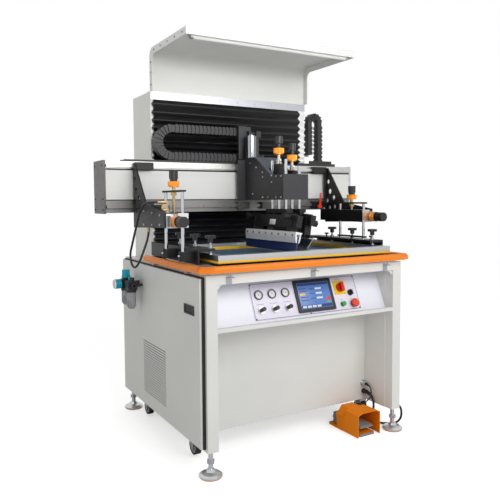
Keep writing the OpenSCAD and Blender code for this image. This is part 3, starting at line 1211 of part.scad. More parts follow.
// rods with top bridge, feed nut; rail gripping the frame; s = side, top = height of the bridge
module clamp_rail(s, x0, x1) {
  // C-shaped rail, open towards the frame: lower lip, web and upper flange
  w = 7;
  a = s < 0 ? x0 : x1 - w;
  lip = s < 0 ? [x0, x1] : [x0 + 40, x1];
  color([0.10, 0.10, 0.11]) {
    bx(lip[0], lip[1], rail_y0, rail_y0 + rail_l, rail_z0 - 1, fz - 0.8 - gap);
    bx(a, a + w, rail_y0, rail_y0 + rail_l, fz - 0.8, rail_z0 + 52 - gap);
    bx(x0, x1, rail_y0, rail_y0 + rail_l, rail_z0 + 52, rail_z0 + 64);
  }
}
lr_x0 = -506;
lr_x1 = -426;
rr_x0 = 424;
rr_x1 = 508;
screw_y = [rail_y0 + 8 + 12, rail_y0 + 170, rail_y0 + 336];
ls_x = -438;
rs_x = 456;
rod_top = [1166, 1108];
module rods(s) {
  top = (s < 0 ? rod_top[0] : rod_top[1]) - 830 + cab_top;
  x = s < 0 ? arm_l + rod_u : arm_r - rod_u;
  z0 = s < 0 ? rail_z0 + 26 : rail_z0 + 63;
  color([0.84, 0.84, 0.85]) for (t = [-1, 1]) rod_z(x, rod_y + t * rod_gap / 2, z0, top - z0, rod_d);
  color([0.10, 0.10, 0.11]) {
    difference() {
      bx(x - 11, x + 11, rod_y - rod_gap / 2 - 14, rod_y + rod_gap / 2 + 14, top, top + 8);
      rod_z(x, rod_y, top - 1, 12, 16 + 2 * run);
    }
    if (s > 0) bx(x - 9, x + 9, rod_y - rod_gap / 2 - 14, rod_y + rod_gap / 2 + 14, rail_z1 + 8,
      rail_z1 + 16);
    if (s < 0) for (t = [-1, 1]) {
      rod_z(x, rod_y + t * rod_gap / 2, rail_z0 + 12, 40 - gap, 36);
      bx(x, lr_x0 + 1, rod_y + t * rod_gap / 2 - 18, rod_y + t * rod_gap / 2 + 18, rail_z0 + 12,
        rail_z0 + 52 - gap);
    }
  }
}
module left_clamp() place() {
  difference() {
    clamp_rail(-1, lr_x0, lr_x1);
    for (y = screw_y) rod_z(ls_x, y, rail_z0 + 40, 40, 10 + 2 * run);
  }
  rods(-1);
  color([0.85, 0.85, 0.85]) for (t = [-1, 1])
    translate([arm_l + rod_u - 18, rod_y + t * rod_gap / 2, rail_z0 + 34])
    rotate([0, -90, 0]) screw(9, 4);
}
module right_clamp() place() {
  difference() {
    clamp_rail(1, rr_x0, rr_x1);
    for (y = screw_y) rod_z(rs_x, y, rail_z0 + 40, 40, 10 + 2 * run);
    for (y = [rail_y0 + 70, rail_y0 + 240, rail_y0 + 400]) rod_z(rs_x + 30, y, rail_z0 + 58, 8, 8);
  }
  rods(1);
  // small set knobs on the rail
  color([0.12, 0.12, 0.13]) for (y = [rail_y0 + 50, rail_y0 + 410]) {
    rod_z(rs_x + 20, y, rail_z0 + 63, 12, 8);
    rod_z(rs_x + 20, y, rail_z0 + 75, 8, 22);
  }
}
// clamping screw: T-shaped top knob, stem, nut, swivel pad on the frame
module clamp_screws(x, rz) for (y = screw_y) translate([x, y, 0]) {
  p = fz + frame_h + gap;
  color([0.82, 0.82, 0.83]) {
    rod_z(0, 0, p, 5, 20);
    rod_z(0, 0, p + 4, rz + 90 - p - 4, 10);
    rod_z(0, 0, rz + 64 + gap, 9, 20);
  }
  color([0.11, 0.11, 0.12]) {
    rod_z(0, 0, rz + 88, 26, 22);
    translate([0, 0, rz + 106]) difference() {
      rod_z(0, 0, 0, 12, 46);
      for (a = [0, 120, 240]) rotate(a) rod_z(36, 0, -1, 14, 40);
    }
  }
}
module left_clamp_screws() place() clamp_screws(ls_x, rail_z0);
module right_clamp_screws() place() clamp_screws(rs_x, rail_z0);
module height_knob(s) {
  top = (s < 0 ? rod_top[0] : rod_top[1]) - 830 + cab_top;
  x = s < 0 ? arm_l + rod_u : arm_r - rod_u;
  translate([x, rod_y, 0]) {
    color([0.80, 0.66, 0.32]) {
      rod_z(0, 0, arm_z - 28, top - arm_z + 30, 12);
      rod_z(0, 0, top - 14, 13.7, 24);
      rod_z(0, 0, top - 1, 24, 16);
    }
    color([0.96, 0.50, 0.10]) translate([0, 0, top + 22]) {
      cylinder(h = 6, d = ring_d - 8); translate([0, 0, 5]) fluted(ring_d, 19, 30); }
    color([0.12, 0.12, 0.13]) translate([0, 0, top + 45]) {
      cylinder(h = 12, d = 32); translate([0, 0, 11]) fluted(knob_d + 2, 34, 12); }
  }
}
module left_height_knob() place() height_knob(-1);
module right_height_knob() place() height_knob(1);
module feed_knob(s) arm_side(s) translate([feed_u, feed_y - gap, arm_z - 4]) rotate([90, 0, 0]) {
  color([0.70, 0.60, 0.50]) translate([0, 0, -50]) cylinder(h = 70, d = 14);
  color([0.96, 0.50, 0.10]) translate([0, 0, 0]) {
    cylinder(h = 12, d = 40); translate([0, 0, 11]) fluted(48, 26, 24); }
  color([0.12, 0.12, 0.13]) translate([0, 0, 36]) {
    cylinder(h = 12, d = 30); translate([0, 0, 11]) fluted(44, 38, 14); }
}
module left_feed_knob() place() feed_knob(-1);
module right_feed_knob() place() feed_knob(1);

// Screen
module screen_frame() place() {
  color([0.78, 0.79, 0.80]) difference() {
    bx(f0, f1, fy0, fy0 + frame_d, fz, fz + frame_h);
    bx(f0 + frame_b, f1 - frame_b, fy0 + frame_b, fy0 + frame_d - frame_b, fz - 1, fz + frame_h + 1);
  }
}
module screen_mesh() color([0.24, 0.40, 0.55]) place()
  bx(f0 + 4, f1 - 4, fy0 + 4, fy0 + frame_d - 4, fz - 0.8, fz);

// Cords
module hank() color([0.07, 0.07, 0.07]) translate([515, 302, 4]) linear_extrude(38) {
  square([76, 46], center = true);
  for (s = [-1, 1]) translate([s * 38, 0]) circle(23);
}
module foot_cord() color([0.07, 0.07, 0.07]) place() {
  cord_tube(foot_route, cord_d, 2, 8);
  cord_tube(switch_route, cord_d, 2, 8);
}
module cord_hank() place() hank();
module power_cord() color([0.07, 0.07, 0.07]) place() cord_tube(power_route, power_d, 1, 10);
module air_hose() color([0.06, 0.06, 0.06]) place() cord_tube(hose_route, hose_d, 1, 8);

base_frame();
cabinet_panels();
console();
control_panel();
touch_screen();
vacuum_table();
tower();
hood();
hood_lamp();
upper_bellows();
lower_bellows();
lift_guides();
vacuum_blower();
electrical_plate();
castor_forks();
foot_switch();
levelling_feet();
front_castor_wheels();
rear_castor_wheels();
pedal();
main_switch();
stop_button();
start_button();
selector();
regulator_knobs();
safety_rim();
side_door();
air_unit();
air_unit_knob();
door_latch();
beam();
lift_plate();
chain_upper();
chain_bend();
lift_chain();
carriage();
head_cylinders();
squeegee_mount();
squeegee_blade();
flood_mount();
flood_blade();
squeegee_knob();
flood_knob();
left_arm();
right_arm();
left_clamp();
right_clamp();
left_clamp_screws();
right_clamp_screws();
left_height_knob();
right_height_knob();
left_feed_knob();
right_feed_knob();
lock_lever();
screen_frame();
screen_mesh();
foot_cord();
cord_hank();
power_cord();
air_hose();
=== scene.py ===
# Flatbed screen printer: finishes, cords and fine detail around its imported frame
import itertools
import json
import math

import bpy
from mathutils import Matrix, Vector

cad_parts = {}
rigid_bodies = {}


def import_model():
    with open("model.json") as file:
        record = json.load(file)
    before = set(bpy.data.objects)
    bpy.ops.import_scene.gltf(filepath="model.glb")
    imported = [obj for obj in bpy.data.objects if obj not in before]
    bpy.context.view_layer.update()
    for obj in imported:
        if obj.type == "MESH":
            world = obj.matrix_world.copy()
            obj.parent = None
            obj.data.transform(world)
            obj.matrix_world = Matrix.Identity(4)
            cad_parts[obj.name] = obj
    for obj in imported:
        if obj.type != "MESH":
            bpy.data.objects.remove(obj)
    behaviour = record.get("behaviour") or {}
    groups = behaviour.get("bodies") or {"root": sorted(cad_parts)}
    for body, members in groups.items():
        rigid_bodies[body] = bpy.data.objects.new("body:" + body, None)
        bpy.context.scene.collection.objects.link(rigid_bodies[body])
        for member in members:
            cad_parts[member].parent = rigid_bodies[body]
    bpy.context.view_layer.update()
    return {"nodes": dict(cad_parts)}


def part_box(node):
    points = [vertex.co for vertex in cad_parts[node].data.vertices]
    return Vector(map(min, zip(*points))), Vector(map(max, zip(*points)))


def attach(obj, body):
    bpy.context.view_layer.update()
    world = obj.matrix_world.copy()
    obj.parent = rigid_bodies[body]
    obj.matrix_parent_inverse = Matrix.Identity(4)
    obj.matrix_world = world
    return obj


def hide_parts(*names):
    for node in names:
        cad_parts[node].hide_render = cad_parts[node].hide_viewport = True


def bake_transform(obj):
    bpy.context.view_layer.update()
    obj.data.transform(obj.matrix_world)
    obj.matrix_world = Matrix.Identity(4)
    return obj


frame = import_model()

# The drawing's zero, on the floor under the middle of the cabinet's front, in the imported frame
DRAWING_ZERO = Vector((0.034, -0.4795, 0.0))


def at(x, y, z):
    """A point of the drawing, in millimetres, as a point of the frame, in metres."""
    return Vector((x, y, z)) / 1000 + DRAWING_ZERO


def drawn(point):
    """A point of the frame as a point of the drawing, in millimetres."""
    return (Vector(point) - DRAWING_ZERO) * 1000


# Camera, solved from the edges of the cabinet, beam and hood in the photo
CAMERA_AT = (-1.5076, -2.5611, 1.1296)
CAMERA_YAW = -29.385
CAMERA_DIP = 3.4416
CAMERA_ROLL = -0.414
CAMERA_LENS = 42.342
CAMERA_SHIFT = (0.0208, -0.02872)


def add_camera():
    data = bpy.data.cameras.new("camera")
    data.sensor_width = 36
    data.lens = CAMERA_LENS
    data.shift_x, data.shift_y = CAMERA_SHIFT
    data.clip_end = 60
    camera = bpy.data.objects.new("camera", data)
    turn = Matrix.Rotation(math.radians(CAMERA_YAW), 4, "Z")
    turn = turn @ Matrix.Rotation(math.radians(90 - CAMERA_DIP), 4, "X")
    turn = turn @ Matrix.Rotation(math.radians(CAMERA_ROLL), 4, "Z")
    camera.rotation_euler = turn.to_euler()
    camera.location = CAMERA_AT
    bpy.context.collection.objects.link(camera)
    bpy.context.scene.camera = camera


# Routes of the cords, in millimetres of the drawing, each step added to the points before it
def go(points, heading, length, count):
    start = Vector(points[-1])
    return points + [tuple(start + Vector(heading) * length * i / count) for i in range(1, count + 1)]


def bend(points, heading, towards, radius, turn, count):
    """Goes round a bend that starts along one direction and turns towards another."""
    start, along, across = Vector(points[-1]), Vector(heading), Vector(towards)
    steps = [math.radians(turn) * i / count for i in range(1, count + 1)]
    return points + [tuple(start + radius * (math.sin(a) * along + (1 - math.cos(a)) * across))
                     for a in steps]


CABINET_SIDE = 523


def power_route():
    """Mains lead: down from its gland, along the floor, up beside the frame and in at its face."""
    radius = 48
    head = (math.cos(math.radians(34)), -math.sin(math.radians(34)), 0)
    ahead, left, down, up = (0, -1, 0), (-1, 0, 0), (0, 0, -1), (0, 0, 1)
    points = bend(go([(461, 171, 150)], ahead, 7, 1), ahead, down, radius, 90, 5)
    points = bend(go(points, down, points[-1][2] - 7 - radius, 3), down, head, radius, 90, 5)
    points = go(points, head, (CABINET_SIDE + 4 + radius - points[-1][0]) / head[0] - radius, 3)
    points = go(bend(points, head, up, radius, 90, 5), up, 10, 1)
    return go(bend(points, up, left, radius, 90, 5), left, 3.8, 1)


def hose_route():
    """Air hose: out of the valve, down outside the rim, round a hanging loop and up to the fitting."""
    lean = math.radians(55)
    outside, end = -660.4, -606
    way = (0, math.cos(lean), -math.sin(lean))
    points = bend(go([(-612.4, 222, 1124)], (-1, 0, 0), 5, 1), (-1, 0, 0), (0, 1, 0), 43, 90, 4)
    points = bend(points, (0, 1, 0), (0, 0, -1), 150, 55, 9)
    points = go(points, way, (408 + 48 * (1 + math.sin(lean)) - points[-1][1]) / math.cos(lean), 11)
    low = len(points) + 5
    points = bend(points, way, (0, -math.sin(lean), -math.cos(lean)), 48, 215, 11)
    points = go(points, (0, 0, 1), 1007.4 - points[-1][2], 8)
    last = len(points) - 1
    for i in range(low, last + 1):
        x, y, z = points[i]
        points[i] = (x + (end - outside) * (1 - math.cos(math.pi * (i - low) / (last - low))) / 2, y, z)
    return points


POWER_ROUTE = power_route()
HOSE_ROUTE = hose_route()
FOOT_ROUTE = [
    (457, 175, 192), (457, 161, 192), (458, 146, 188), (456, 131, 176), (447, 119, 158),
    (432, 113, 140), (413, 116, 125), (398, 130, 114), (390, 150, 107), (387, 172, 101),
    (390, 196, 92), (398, 220, 80), (409, 244, 64), (424, 264, 50), (443, 279, 40)]
SWITCH_ROUTE = [
    (430, 319, 4), (392, 314, 4), (362, 304, 5), (343, 290, 9), (332, 275, 14), (327, 260, 19),
    (325.5, 249, 22), (325.5, 239, 24)]
POWER_D = 11
HOSE_D = 10
FLEX_D = 6
HANK_MIDDLE = (515, 302)
HANK_HALF_RUN = 38
HANK_BEND = 18.5
HANK_TURNS = 5
HANK_STEPS = 14


def hank_turns(top, bottom):
    """Turns of a folded hank, front run round to rear run, wound down from top to bottom."""
    points = []
    cx, cy = HANK_MIDDLE
    count = HANK_TURNS * HANK_STEPS + HANK_STEPS // 2
    for i in range(count + 1):
        angle = math.radians(-90 + 360 * i / HANK_STEPS)
        side = HANK_HALF_RUN * math.copysign(1, math.cos(angle)) if abs(math.cos(angle)) > 0.01 else 0
        radius = HANK_BEND * (1 + 0.05 * math.sin(2.3 * i))
        height = top + (bottom - top) * i / count
        points.append((cx + side + radius * math.cos(angle), cy + radius * math.sin(angle), height))
    return points


def smooth_cord(name, points, diameter, material):
    """A cord as one open spline whose handles carry it smoothly from point to point."""
    curve = bpy.data.curves.new(name, "CURVE")
    curve.dimensions = "3D"
    curve.bevel_depth = diameter / 2000
    curve.bevel_resolution = 4
    curve.resolution_u = 8
    curve.use_fill_caps = True
    spline = curve.splines.new("BEZIER")
    spline.bezier_points.add(len(points) - 1)
    for i, knot in enumerate(spline.bezier_points):
        knot.co = at(*points[i])
        back = knot.co - at(*points[max(i - 1, 0)])
        ahead = at(*points[min(i + 1, len(points) - 1)]) - knot.co
        # the direction leans to the nearer neighbour, so that short steps don't kink
        if not back.length or not ahead.length:
            way = (back + ahead).normalized()
        else:
            way = (back / back.length ** 2 + ahead / ahead.length ** 2).normalized()
        knot.handle_left = knot.co - way * back.length / 3
        knot.handle_right = knot.co + way * ahead.length / 3
    obj = bpy.data.objects.new(name, curve)
    bpy.context.collection.objects.link(obj)
    obj.data.materials.append(material)
    return obj


def boot(name, points, start_d, end_d, ribs, material):
    """Ribbed strain relief that tapers along the first points of a cord."""
    obj = smooth_cord(name, points, 2, material)
    curve = obj.data
    curve.resolution_u = 1
    lengths = [0.0]
    for a, b in zip(points, points[1:]):
        lengths.append(lengths[-1] + (Vector(b) - Vector(a)).length)
    curve.splines.clear()
    spline = curve.splines.new("POLY")
    count = ribs * 4
    spline.points.add(count)
    for i, point in enumerate(spline.points):
        share = i / count
        along = share * lengths[-1]
        k = next((j for j in range(1, len(lengths)) if lengths[j] >= along - 1e-9), len(lengths) - 1)
        part = (along - lengths[k - 1]) / (lengths[k] - lengths[k - 1])
        place = at(*(Vector(points[k - 1]).lerp(Vector(points[k]), part)))
        wide = start_d + (end_d - start_d) * share
        groove = 0.9 if i % 4 in (2, 3) else 1.0
        point.co = (*place, 1)
        point.radius = wide / 2 * groove
    pick(obj)
    bpy.ops.object.convert(target="MESH")
    obj = bpy.context.object
    obj.name = name
    return obj


# Shaping: every piece is worked in millimetres of the drawing and then settled into the frame
def deselect():
    if bpy.context.object and bpy.context.object.mode != "OBJECT":
        bpy.ops.object.mode_set(mode="OBJECT")
    bpy.ops.object.select_all(action="DESELECT")


def pick(obj):
    deselect()
    obj.select_set(True)
    bpy.context.view_layer.objects.active = obj


def block(low, high):
    deselect()
    bpy.ops.mesh.primitive_cube_add(size=1, location=[(a + b) / 2 for a, b in zip(low, high)])
    obj = bpy.context.object
    obj.scale = [abs(b - a) for a, b in zip(low, high)]
    bpy.ops.object.transform_apply(location=True, rotation=False, scale=True)
    return obj


def rod(start, end, radius, sides, tip=None):
    """Round bar from start to end; with tip it tapers to that radius."""
    deselect()
    a, b = Vector(start), Vector(end)
    bpy.ops.mesh.primitive_cone_add(vertices=sides, radius1=radius,
                                    radius2=radius if tip is None else tip,
                                    depth=(b - a).length, location=(a + b) / 2)
    obj = bpy.context.object
    obj.rotation_euler = (b - a).to_track_quat("Z", "Y").to_euler()
    bpy.ops.object.transform_apply(location=True, rotation=True, scale=False)
    return obj


def soften(obj, width):
    """Rounds a piece's sharp edges by a width."""
    pick(obj)
    edge = obj.modifiers.new("edge", "BEVEL")
    edge.width = width
    edge.segments = 2
    edge.angle_limit = math.radians(35)
    bpy.ops.object.modifier_apply(modifier=edge.name)
    return obj


def pick_faces(obj, test):
    """Goes into edit mode with the faces selected whose centre and normal pass the test."""
    pick(obj)
    bpy.ops.object.mode_set(mode="EDIT")
    bpy.ops.mesh.select_mode(type="FACE")
    bpy.ops.mesh.select_all(action="DESELECT")
    bpy.ops.object.mode_set(mode="OBJECT")
    for face in obj.data.polygons:
        face.select = test(face.center, face.normal)
    bpy.ops.object.mode_set(mode="EDIT")


def sink(obj, test, border, depth):
    """Insets the chosen faces by a border and pushes them in by a depth."""
    pick_faces(obj, test)
    bpy.ops.mesh.inset(thickness=border, depth=-depth)
    bpy.ops.object.mode_set(mode="OBJECT")
    return obj


def thicken(obj, thickness):
    pick(obj)
    wall = obj.modifiers.new("wall", "SOLIDIFY")
    wall.thickness = thickness
    wall.offset = 0
    bpy.ops.object.modifier_apply(modifier=wall.name)
    return obj


def turned(obj, angle, axis="Z", about=(0, 0, 0)):
    """Turns a piece by an angle, in degrees, about an axis through a point."""
    turn = Matrix.Rotation(math.radians(angle), 4, axis)
    obj.data.transform(Matrix.Translation(about) @ turn @ Matrix.Translation(-Vector(about)))
    return obj


def united(pieces):
    pick(pieces[0])
    for piece in pieces:
        piece.select_set(True)
    if len(pieces) > 1:
        bpy.ops.object.join()
    return bpy.context.object


IN_DRAWING = Matrix.Translation(DRAWING_ZERO) @ Matrix.Scale(0.001, 4)


def place_on(origin, across, up):
    """Places a piece worked flat: its X runs across, its Y up, and its Z out of the face it sits on."""
    x, y = Vector(across).normalized(), Vector(up).normalized()
    z = x.cross(y)
    turn = Matrix((x, y, z)).transposed().to_4x4()
    return IN_DRAWING @ Matrix.Translation(origin) @ turn


def settle(obj, name, body, material, place=IN_DRAWING):
    """Moves a piece's mesh into the frame, names it, finishes it and lets it ride on its body."""
    obj.data.transform(place)
    obj.data.update()
    obj.name = name
    obj.data.name = name
    obj.data.materials.clear()
    obj.data.materials.append(material)
    pick(obj)
    bpy.ops.object.shade_smooth_by_angle(angle=math.radians(30))
    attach(obj, body)
    return obj


# Materials
def surface(name, colour, rough, metal=0.0, coat=0.0):
    """A shader in one finish; the colour is given as it shows on a screen, from 0 to 255."""
    material = bpy.data.materials.new(name)
    material.use_nodes = True
    for socket, value in (("Base Color", linear(colour)), ("Roughness", rough), ("Metallic", metal),
                          ("Coat Weight", coat), ("Coat Roughness", 0.15)):
        set_shader(material, socket, value)
    return material


def linear(colour):
    """A colour as it shows on a screen, from 0 to 255, in the linear values that shaders take."""
    shares = [c / 255 for c in colour]
    return tuple(pow((c + 0.055) / 1.055, 2.4) if c > 10 / 255 else c / 12.92 for c in shares) + (1.0,)


def node(material, kind, **values):
    made = material.node_tree.nodes.new(kind)
    for key, value in values.items():
        if key in made.inputs.keys():
            made.inputs[key].default_value = value
        else:
            setattr(made, key, value)
    return made


def set_shader(material, socket, value):
    material.node_tree.nodes["Principled BSDF"].inputs[socket].default_value = value


def join(material, source, output, target, socket):
    material.node_tree.links.new(source.outputs[output], target.inputs[socket])


def feed(material, source, output, socket):
    """Leads a node's output to a socket of the material's shader."""
    join(material, source, output, material.node_tree.nodes["Principled BSDF"], socket)


def noise(material, scale, detail, stretch=(1, 1, 1)):
    """Noise fixed to the piece, finer for a larger scale, drawn out where stretch is under one."""
    place = node(material, "ShaderNodeTexCoord")
    fit = node(material, "ShaderNodeMapping", Scale=stretch)
    texture = node(material, "ShaderNodeTexNoise", Scale=scale, Detail=detail)
    join(material, place, "Object", fit, "Vector")
    join(material, fit, "Vector", texture, "Vector")
    return texture


def shade_by(material, texture, colour, other, low=0.35, high=0.65):
    """Carries the base colour between two tones along a texture."""
    ramp = node(material, "ShaderNodeValToRGB")
    for stop, position, tone in zip(ramp.color_ramp.elements, (low, high), (colour, other)):
        stop.position, stop.color = position, linear(tone)
    join(material, texture, 0, ramp, "Fac")
    feed(material, ramp, "Color", "Base Color")


def rough_by(material, texture, low, high):
    """Carries the roughness between two values along a texture."""
    span = node(material, "ShaderNodeMapRange", **{"To Min": low, "To Max": high})
    join(material, texture, 0, span, "Value")
    feed(material, span, "Result", "Roughness")


def relief_by(material, texture, strength, depth):
    """Raises the surface along a texture, depth in metres."""
    bump = node(material, "ShaderNodeBump", Strength=strength, Distance=depth)
    join(material, texture, 0, bump, "Height")
    feed(material, bump, "Normal", "Normal")


def powder_coat(name, colour, rough=0.42):
    """Sprayed and baked coat: fine orange peel, faint clouding."""
    material = surface(name, colour, rough)
    clouds = noise(material, 2.2, 4.0)
    darker = tuple(c * 0.975 for c in colour)
    shade_by(material, clouds, darker, colour)
    peel = noise(material, 1400, 1.0)
    rough_by(material, peel, rough - 0.05, rough + 0.08)
    relief_by(material, peel, 0.12, 0.0002)
    return material


def brushed(name, colour, rough, run, metal=1.0):
    """Metal with a fine grain along one axis; run holds the axis' own scale."""
    material = surface(name, colour, rough, metal)
    grain = noise(material, 900, 3.0, run)
    rough_by(material, grain, rough - 0.07, rough + 0.1)
    shade_by(material, grain, tuple(c * 0.94 for c in colour), colour)
    relief_by(material, grain, 0.1, 0.00005)
    return material


def anodised(name, colour, rough, metal):
    """Dyed anodised aluminium: satin, faint fingerprints."""
    material = surface(name, colour, rough, metal)
    film = noise(material, 26, 5.0)
    rough_by(material, film, rough - 0.08, rough + 0.12)
    grit = noise(material, 2600, 1.0)
    relief_by(material, grit, 0.1, 0.00006)
    return material


def moulded(name, colour, rough=0.4, grain=0.12):
    """Moulded plastic with a fine sparked texture."""
    material = surface(name, colour, rough)
    spark = noise(material, 1900, 2.0)
    rough_by(material, spark, rough - 0.06, rough + 0.1)
    relief_by(material, spark, grain, 0.00012)
    return material


def printed(name, colour, rough):
    """Ink or film on a plate, with a faint unevenness."""
    material = surface(name, colour, rough)
    film = noise(material, 240, 2.0)
    rough_by(material, film, rough - 0.08, rough + 0.08)
    return material


def woven(name, colour, other, pitch, rough, relief=0.00008, sheen=0.25):
    """Cloth whose two sets of threads run along X and Y, pitch in metres."""
    material = surface(name, colour, rough)
    place = node(material, "ShaderNodeTexCoord")
    threads = []
    for direction in ("X", "Y"):
        wave = node(material, "ShaderNodeTexWave", bands_direction=direction, Scale=0.31416 / pitch)
        join(material, place, "Object", wave, "Vector")
        threads.append(wave)
    both = node(material, "ShaderNodeMath", operation="MULTIPLY")
    join(material, threads[0], "Fac", both, 0)
    join(material, threads[1], "Fac", both, 1)
    shade_by(material, both, other, colour, 0.05, 0.6)
    relief_by(material, both, 0.3, relief)
    set_shader(material, "Sheen Weight", sheen)
    return material


ALONG_X = (0.03, 1, 1)
ALONG_Y = (1, 0.03, 1)
ALONG_Z = (1, 1, 0.03)
ANY_WAY = (1, 1, 1)

cabinet_coat = powder_coat("cabinet_coat", (226, 226, 222))
# The door's coat is the cabinet's coat ten levels darker: painted shade for the door's side, which
# faces away from the key light.
door_coat_painted_shade = powder_coat("door_coat_painted_shade", (216, 216, 212))
# The console's coat is a bluish white, brighter than the cabinet's: LED light painted into its colour.
console_coat_painted_led_light = powder_coat("console_coat_painted_led_light", (244, 244, 254), 0.34)
orange_coat = powder_coat("orange_coat", (236, 128, 4), 0.42)
guard_orange = moulded("guard_orange", (236, 130, 0), 0.62, 0.05)
set_shader(guard_orange, "Specular IOR Level", 0.2)
panel_steel = brushed("panel_steel", (236, 232, 246), 0.42, ALONG_X, 0.08)
rail_aluminium = brushed("rail_aluminium", (200, 200, 197), 0.3, ALONG_X)
table_aluminium = brushed("table_aluminium", (206, 208, 210), 0.34, ALONG_X)
frame_aluminium = brushed("frame_aluminium", (205, 209, 211), 0.33, ALONG_Y)
machined = brushed("machined", (206, 207, 208), 0.3, ANY_WAY)
trim_aluminium = brushed("trim_aluminium", (184, 185, 190), 0.32, ALONG_X)
beam_lacquer = powder_coat("beam_lacquer", (216, 216, 213), 0.3)
lower_rail = brushed("lower_rail", (132, 131, 129), 0.34, ALONG_X, 0.85)
holder_aluminium = brushed("holder_aluminium", (236, 237, 238), 0.34, ALONG_Y, 0.12)
polished_steel = surface("polished_steel", (134, 136, 140), 0.12, 1.0)
rough_by(polished_steel, noise(polished_steel, 50, 4.0), 0.08, 0.18)
chrome = surface("chrome", (196, 198, 201), 0.07, 1.0)
rough_by(chrome, noise(chrome, 60, 4.0), 0.04, 0.12)
zinc = brushed("zinc", (178, 181, 184), 0.36, ANY_WAY, 1.0)
steel_sheet = brushed("steel_sheet", (196, 199, 203), 0.22, ALONG_Y)
brass = brushed("brass", (186, 160, 112), 0.3, ALONG_Z)
orange_ring = anodised("orange_ring", (230, 148, 50), 0.34, 0.6)
graphite = anodised("graphite", (54, 54, 56), 0.45, 0.4)
black_anodised = anodised("black_anodised", (26, 26, 28), 0.42, 0.35)
dark_steel = anodised("dark_steel", (86, 84, 83), 0.4, 0.5)
grey_casting = powder_coat("grey_casting", (116, 119, 122), 0.5)
blue_steel = powder_coat("blue_steel", (84, 88, 100), 0.42)
black_plastic = moulded("black_plastic", (26, 26, 28))
knob_plastic = moulded("knob_plastic", (22, 22, 24), 0.3, 0.06)
chain_plastic = moulded("chain_plastic", (30, 30, 32), 0.4)
rubber = moulded("rubber", (22, 22, 22), 0.72, 0.3)
grey_plastic = moulded("grey_plastic", (132, 134, 138), 0.5, 0.3)
cyan_plastic = moulded("cyan_plastic", (6, 160, 186), 0.34, 0.05)
red_plastic = moulded("red_plastic", (206, 22, 24), 0.28, 0.04)
stop_red = moulded("stop_red", (226, 62, 24), 0.28, 0.04)
green_plastic = moulded("green_plastic", (24, 160, 70), 0.3, 0.04)
yellow_plastic = moulded("yellow_plastic", (240, 200, 26), 0.32, 0.04)
frame_tape = moulded("frame_tape", (236, 188, 30), 0.5, 0.05)
lever_red = powder_coat("lever_red", (226, 58, 34), 0.34)
blade_rubber = moulded("blade_rubber", (38, 50, 96), 0.2, 0.05)
bronze_screw = brushed("bronze_screw", (176, 160, 128), 0.3, ANY_WAY)
dial_white = printed("dial_white", (240, 240, 238), 0.4)
scale_black = printed("scale_black", (30, 30, 34), 0.4)
scale_violet = printed("scale_violet", (96, 62, 118), 0.4)
needle_red = printed("needle_red", (196, 40, 32), 0.35)
border_violet = printed("border_violet", (104, 96, 132), 0.45)
screen_blue = printed("screen_blue", (92, 128, 196), 0.25)
screen_deep = printed("screen_deep", (38, 62, 122), 0.25)
screen_pale = printed("screen_pale", (206, 218, 238), 0.25)
screen_mark = printed("screen_mark", (236, 196, 70), 0.25)
screen_lit = printed("screen_lit", (96, 178, 120), 0.25)
bowl_grey = surface("bowl_grey", (176, 178, 182), 0.16)
set_shader(bowl_grey, "Transmission Weight", 0.35)
rough_by(bowl_grey, noise(bowl_grey, 80, 3.0), 0.1, 0.24)
cord_black = moulded("cord_black", (24, 24, 25), 0.5, 0.2)
terminal_green = moulded("terminal_green", (70, 128, 92), 0.5)
tube_glow = surface("tube_glow", (216, 217, 215), 0.4)
set_shader(tube_glow, "Emission Color", (1, 1, 1, 1))
set_shader(tube_glow, "Emission Strength", 0.12)
rough_by(tube_glow, noise(tube_glow, 40, 2.0), 0.35, 0.45)
glass_screen = surface("glass_screen", (54, 76, 130), 0.12, 0.0, 0.6)
rough_by(glass_screen, noise(glass_screen, 30, 2.0), 0.1, 0.16)
mesh_cloth = woven("mesh_cloth", (52, 100, 136), (30, 72, 104), 0.0012, 0.62, 0.00008, 0.05)
bellows_cloth = woven("bellows_cloth", (13, 13, 16), (6, 6, 8), 0.0014, 0.36, 0.00008, 0.0)
set_shader(bellows_cloth, "Specular IOR Level", 0.4)
bellows_hem = woven("bellows_hem", (236, 236, 236), (222, 222, 222), 0.0014, 0.6)


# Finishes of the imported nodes
def near(x, y, z, radius, axis):
    """Faces within a radius, in millimetres, of a line through a point along an axis."""
    keep = [i for i in range(3) if i != "xyz".index(axis)]
    middle = (x, y, z)

    def test(c, n):
        return math.hypot(*(c[i] - middle[i] for i in keep)) <= radius
    return test


def within(x=(-9999, 9999), y=(-9999, 9999), z=(-9999, 9999)):
    def test(c, n):
        return all(lo <= v <= hi for v, (lo, hi) in zip(c, (x, y, z)))
    return test


def both_of(*tests):
    return lambda c, n: all(test(c, n) for test in tests)


def finish(name, base, *areas):
    """Gives a node its finish, and each area of it, a material and a test on face centres, its own."""
    obj = frame["nodes"][name]
    data = obj.data
    data.materials.clear()
    kinds = [base]
    for material, _ in areas:
        if material not in kinds:
            kinds.append(material)
    for material in kinds:
        data.materials.append(material)
    for face in data.polygons:
        centre, normal = drawn(face.center), face.normal
        face.material_index = next((kinds.index(m) for m, test in areas if test(centre, normal)), 0)


# The sloped operator's plate: its foot line, its lean and its thickness
SLOPE_Y = 45
SLOPE_Z = 597
SLOPE_LEAN = math.atan2(83, 194)
PLATE = 3
GAUGES = [(-227, 128), (-158, 128), (-88, 128)]
REGULATORS = [(-227, 60), (-158, 60), (-88, 60)]
SCREEN = (66, 102)
MAIN = (220, 126)
SELECTOR = (275, 98)
START = (217, 47)
STOP = (280, 45)


def on_panel(c):
    """A point of the drawing in the operator's plate: across, up its slope, and out of its face."""
    dy, dz = c[1] - SLOPE_Y, c[2] - SLOPE_Z
    up = dy * math.sin(SLOPE_LEAN) + dz * math.cos(SLOPE_LEAN)
    out = dz * math.sin(SLOPE_LEAN) - dy * math.cos(SLOPE_LEAN) - PLATE
    return c[0], up, out


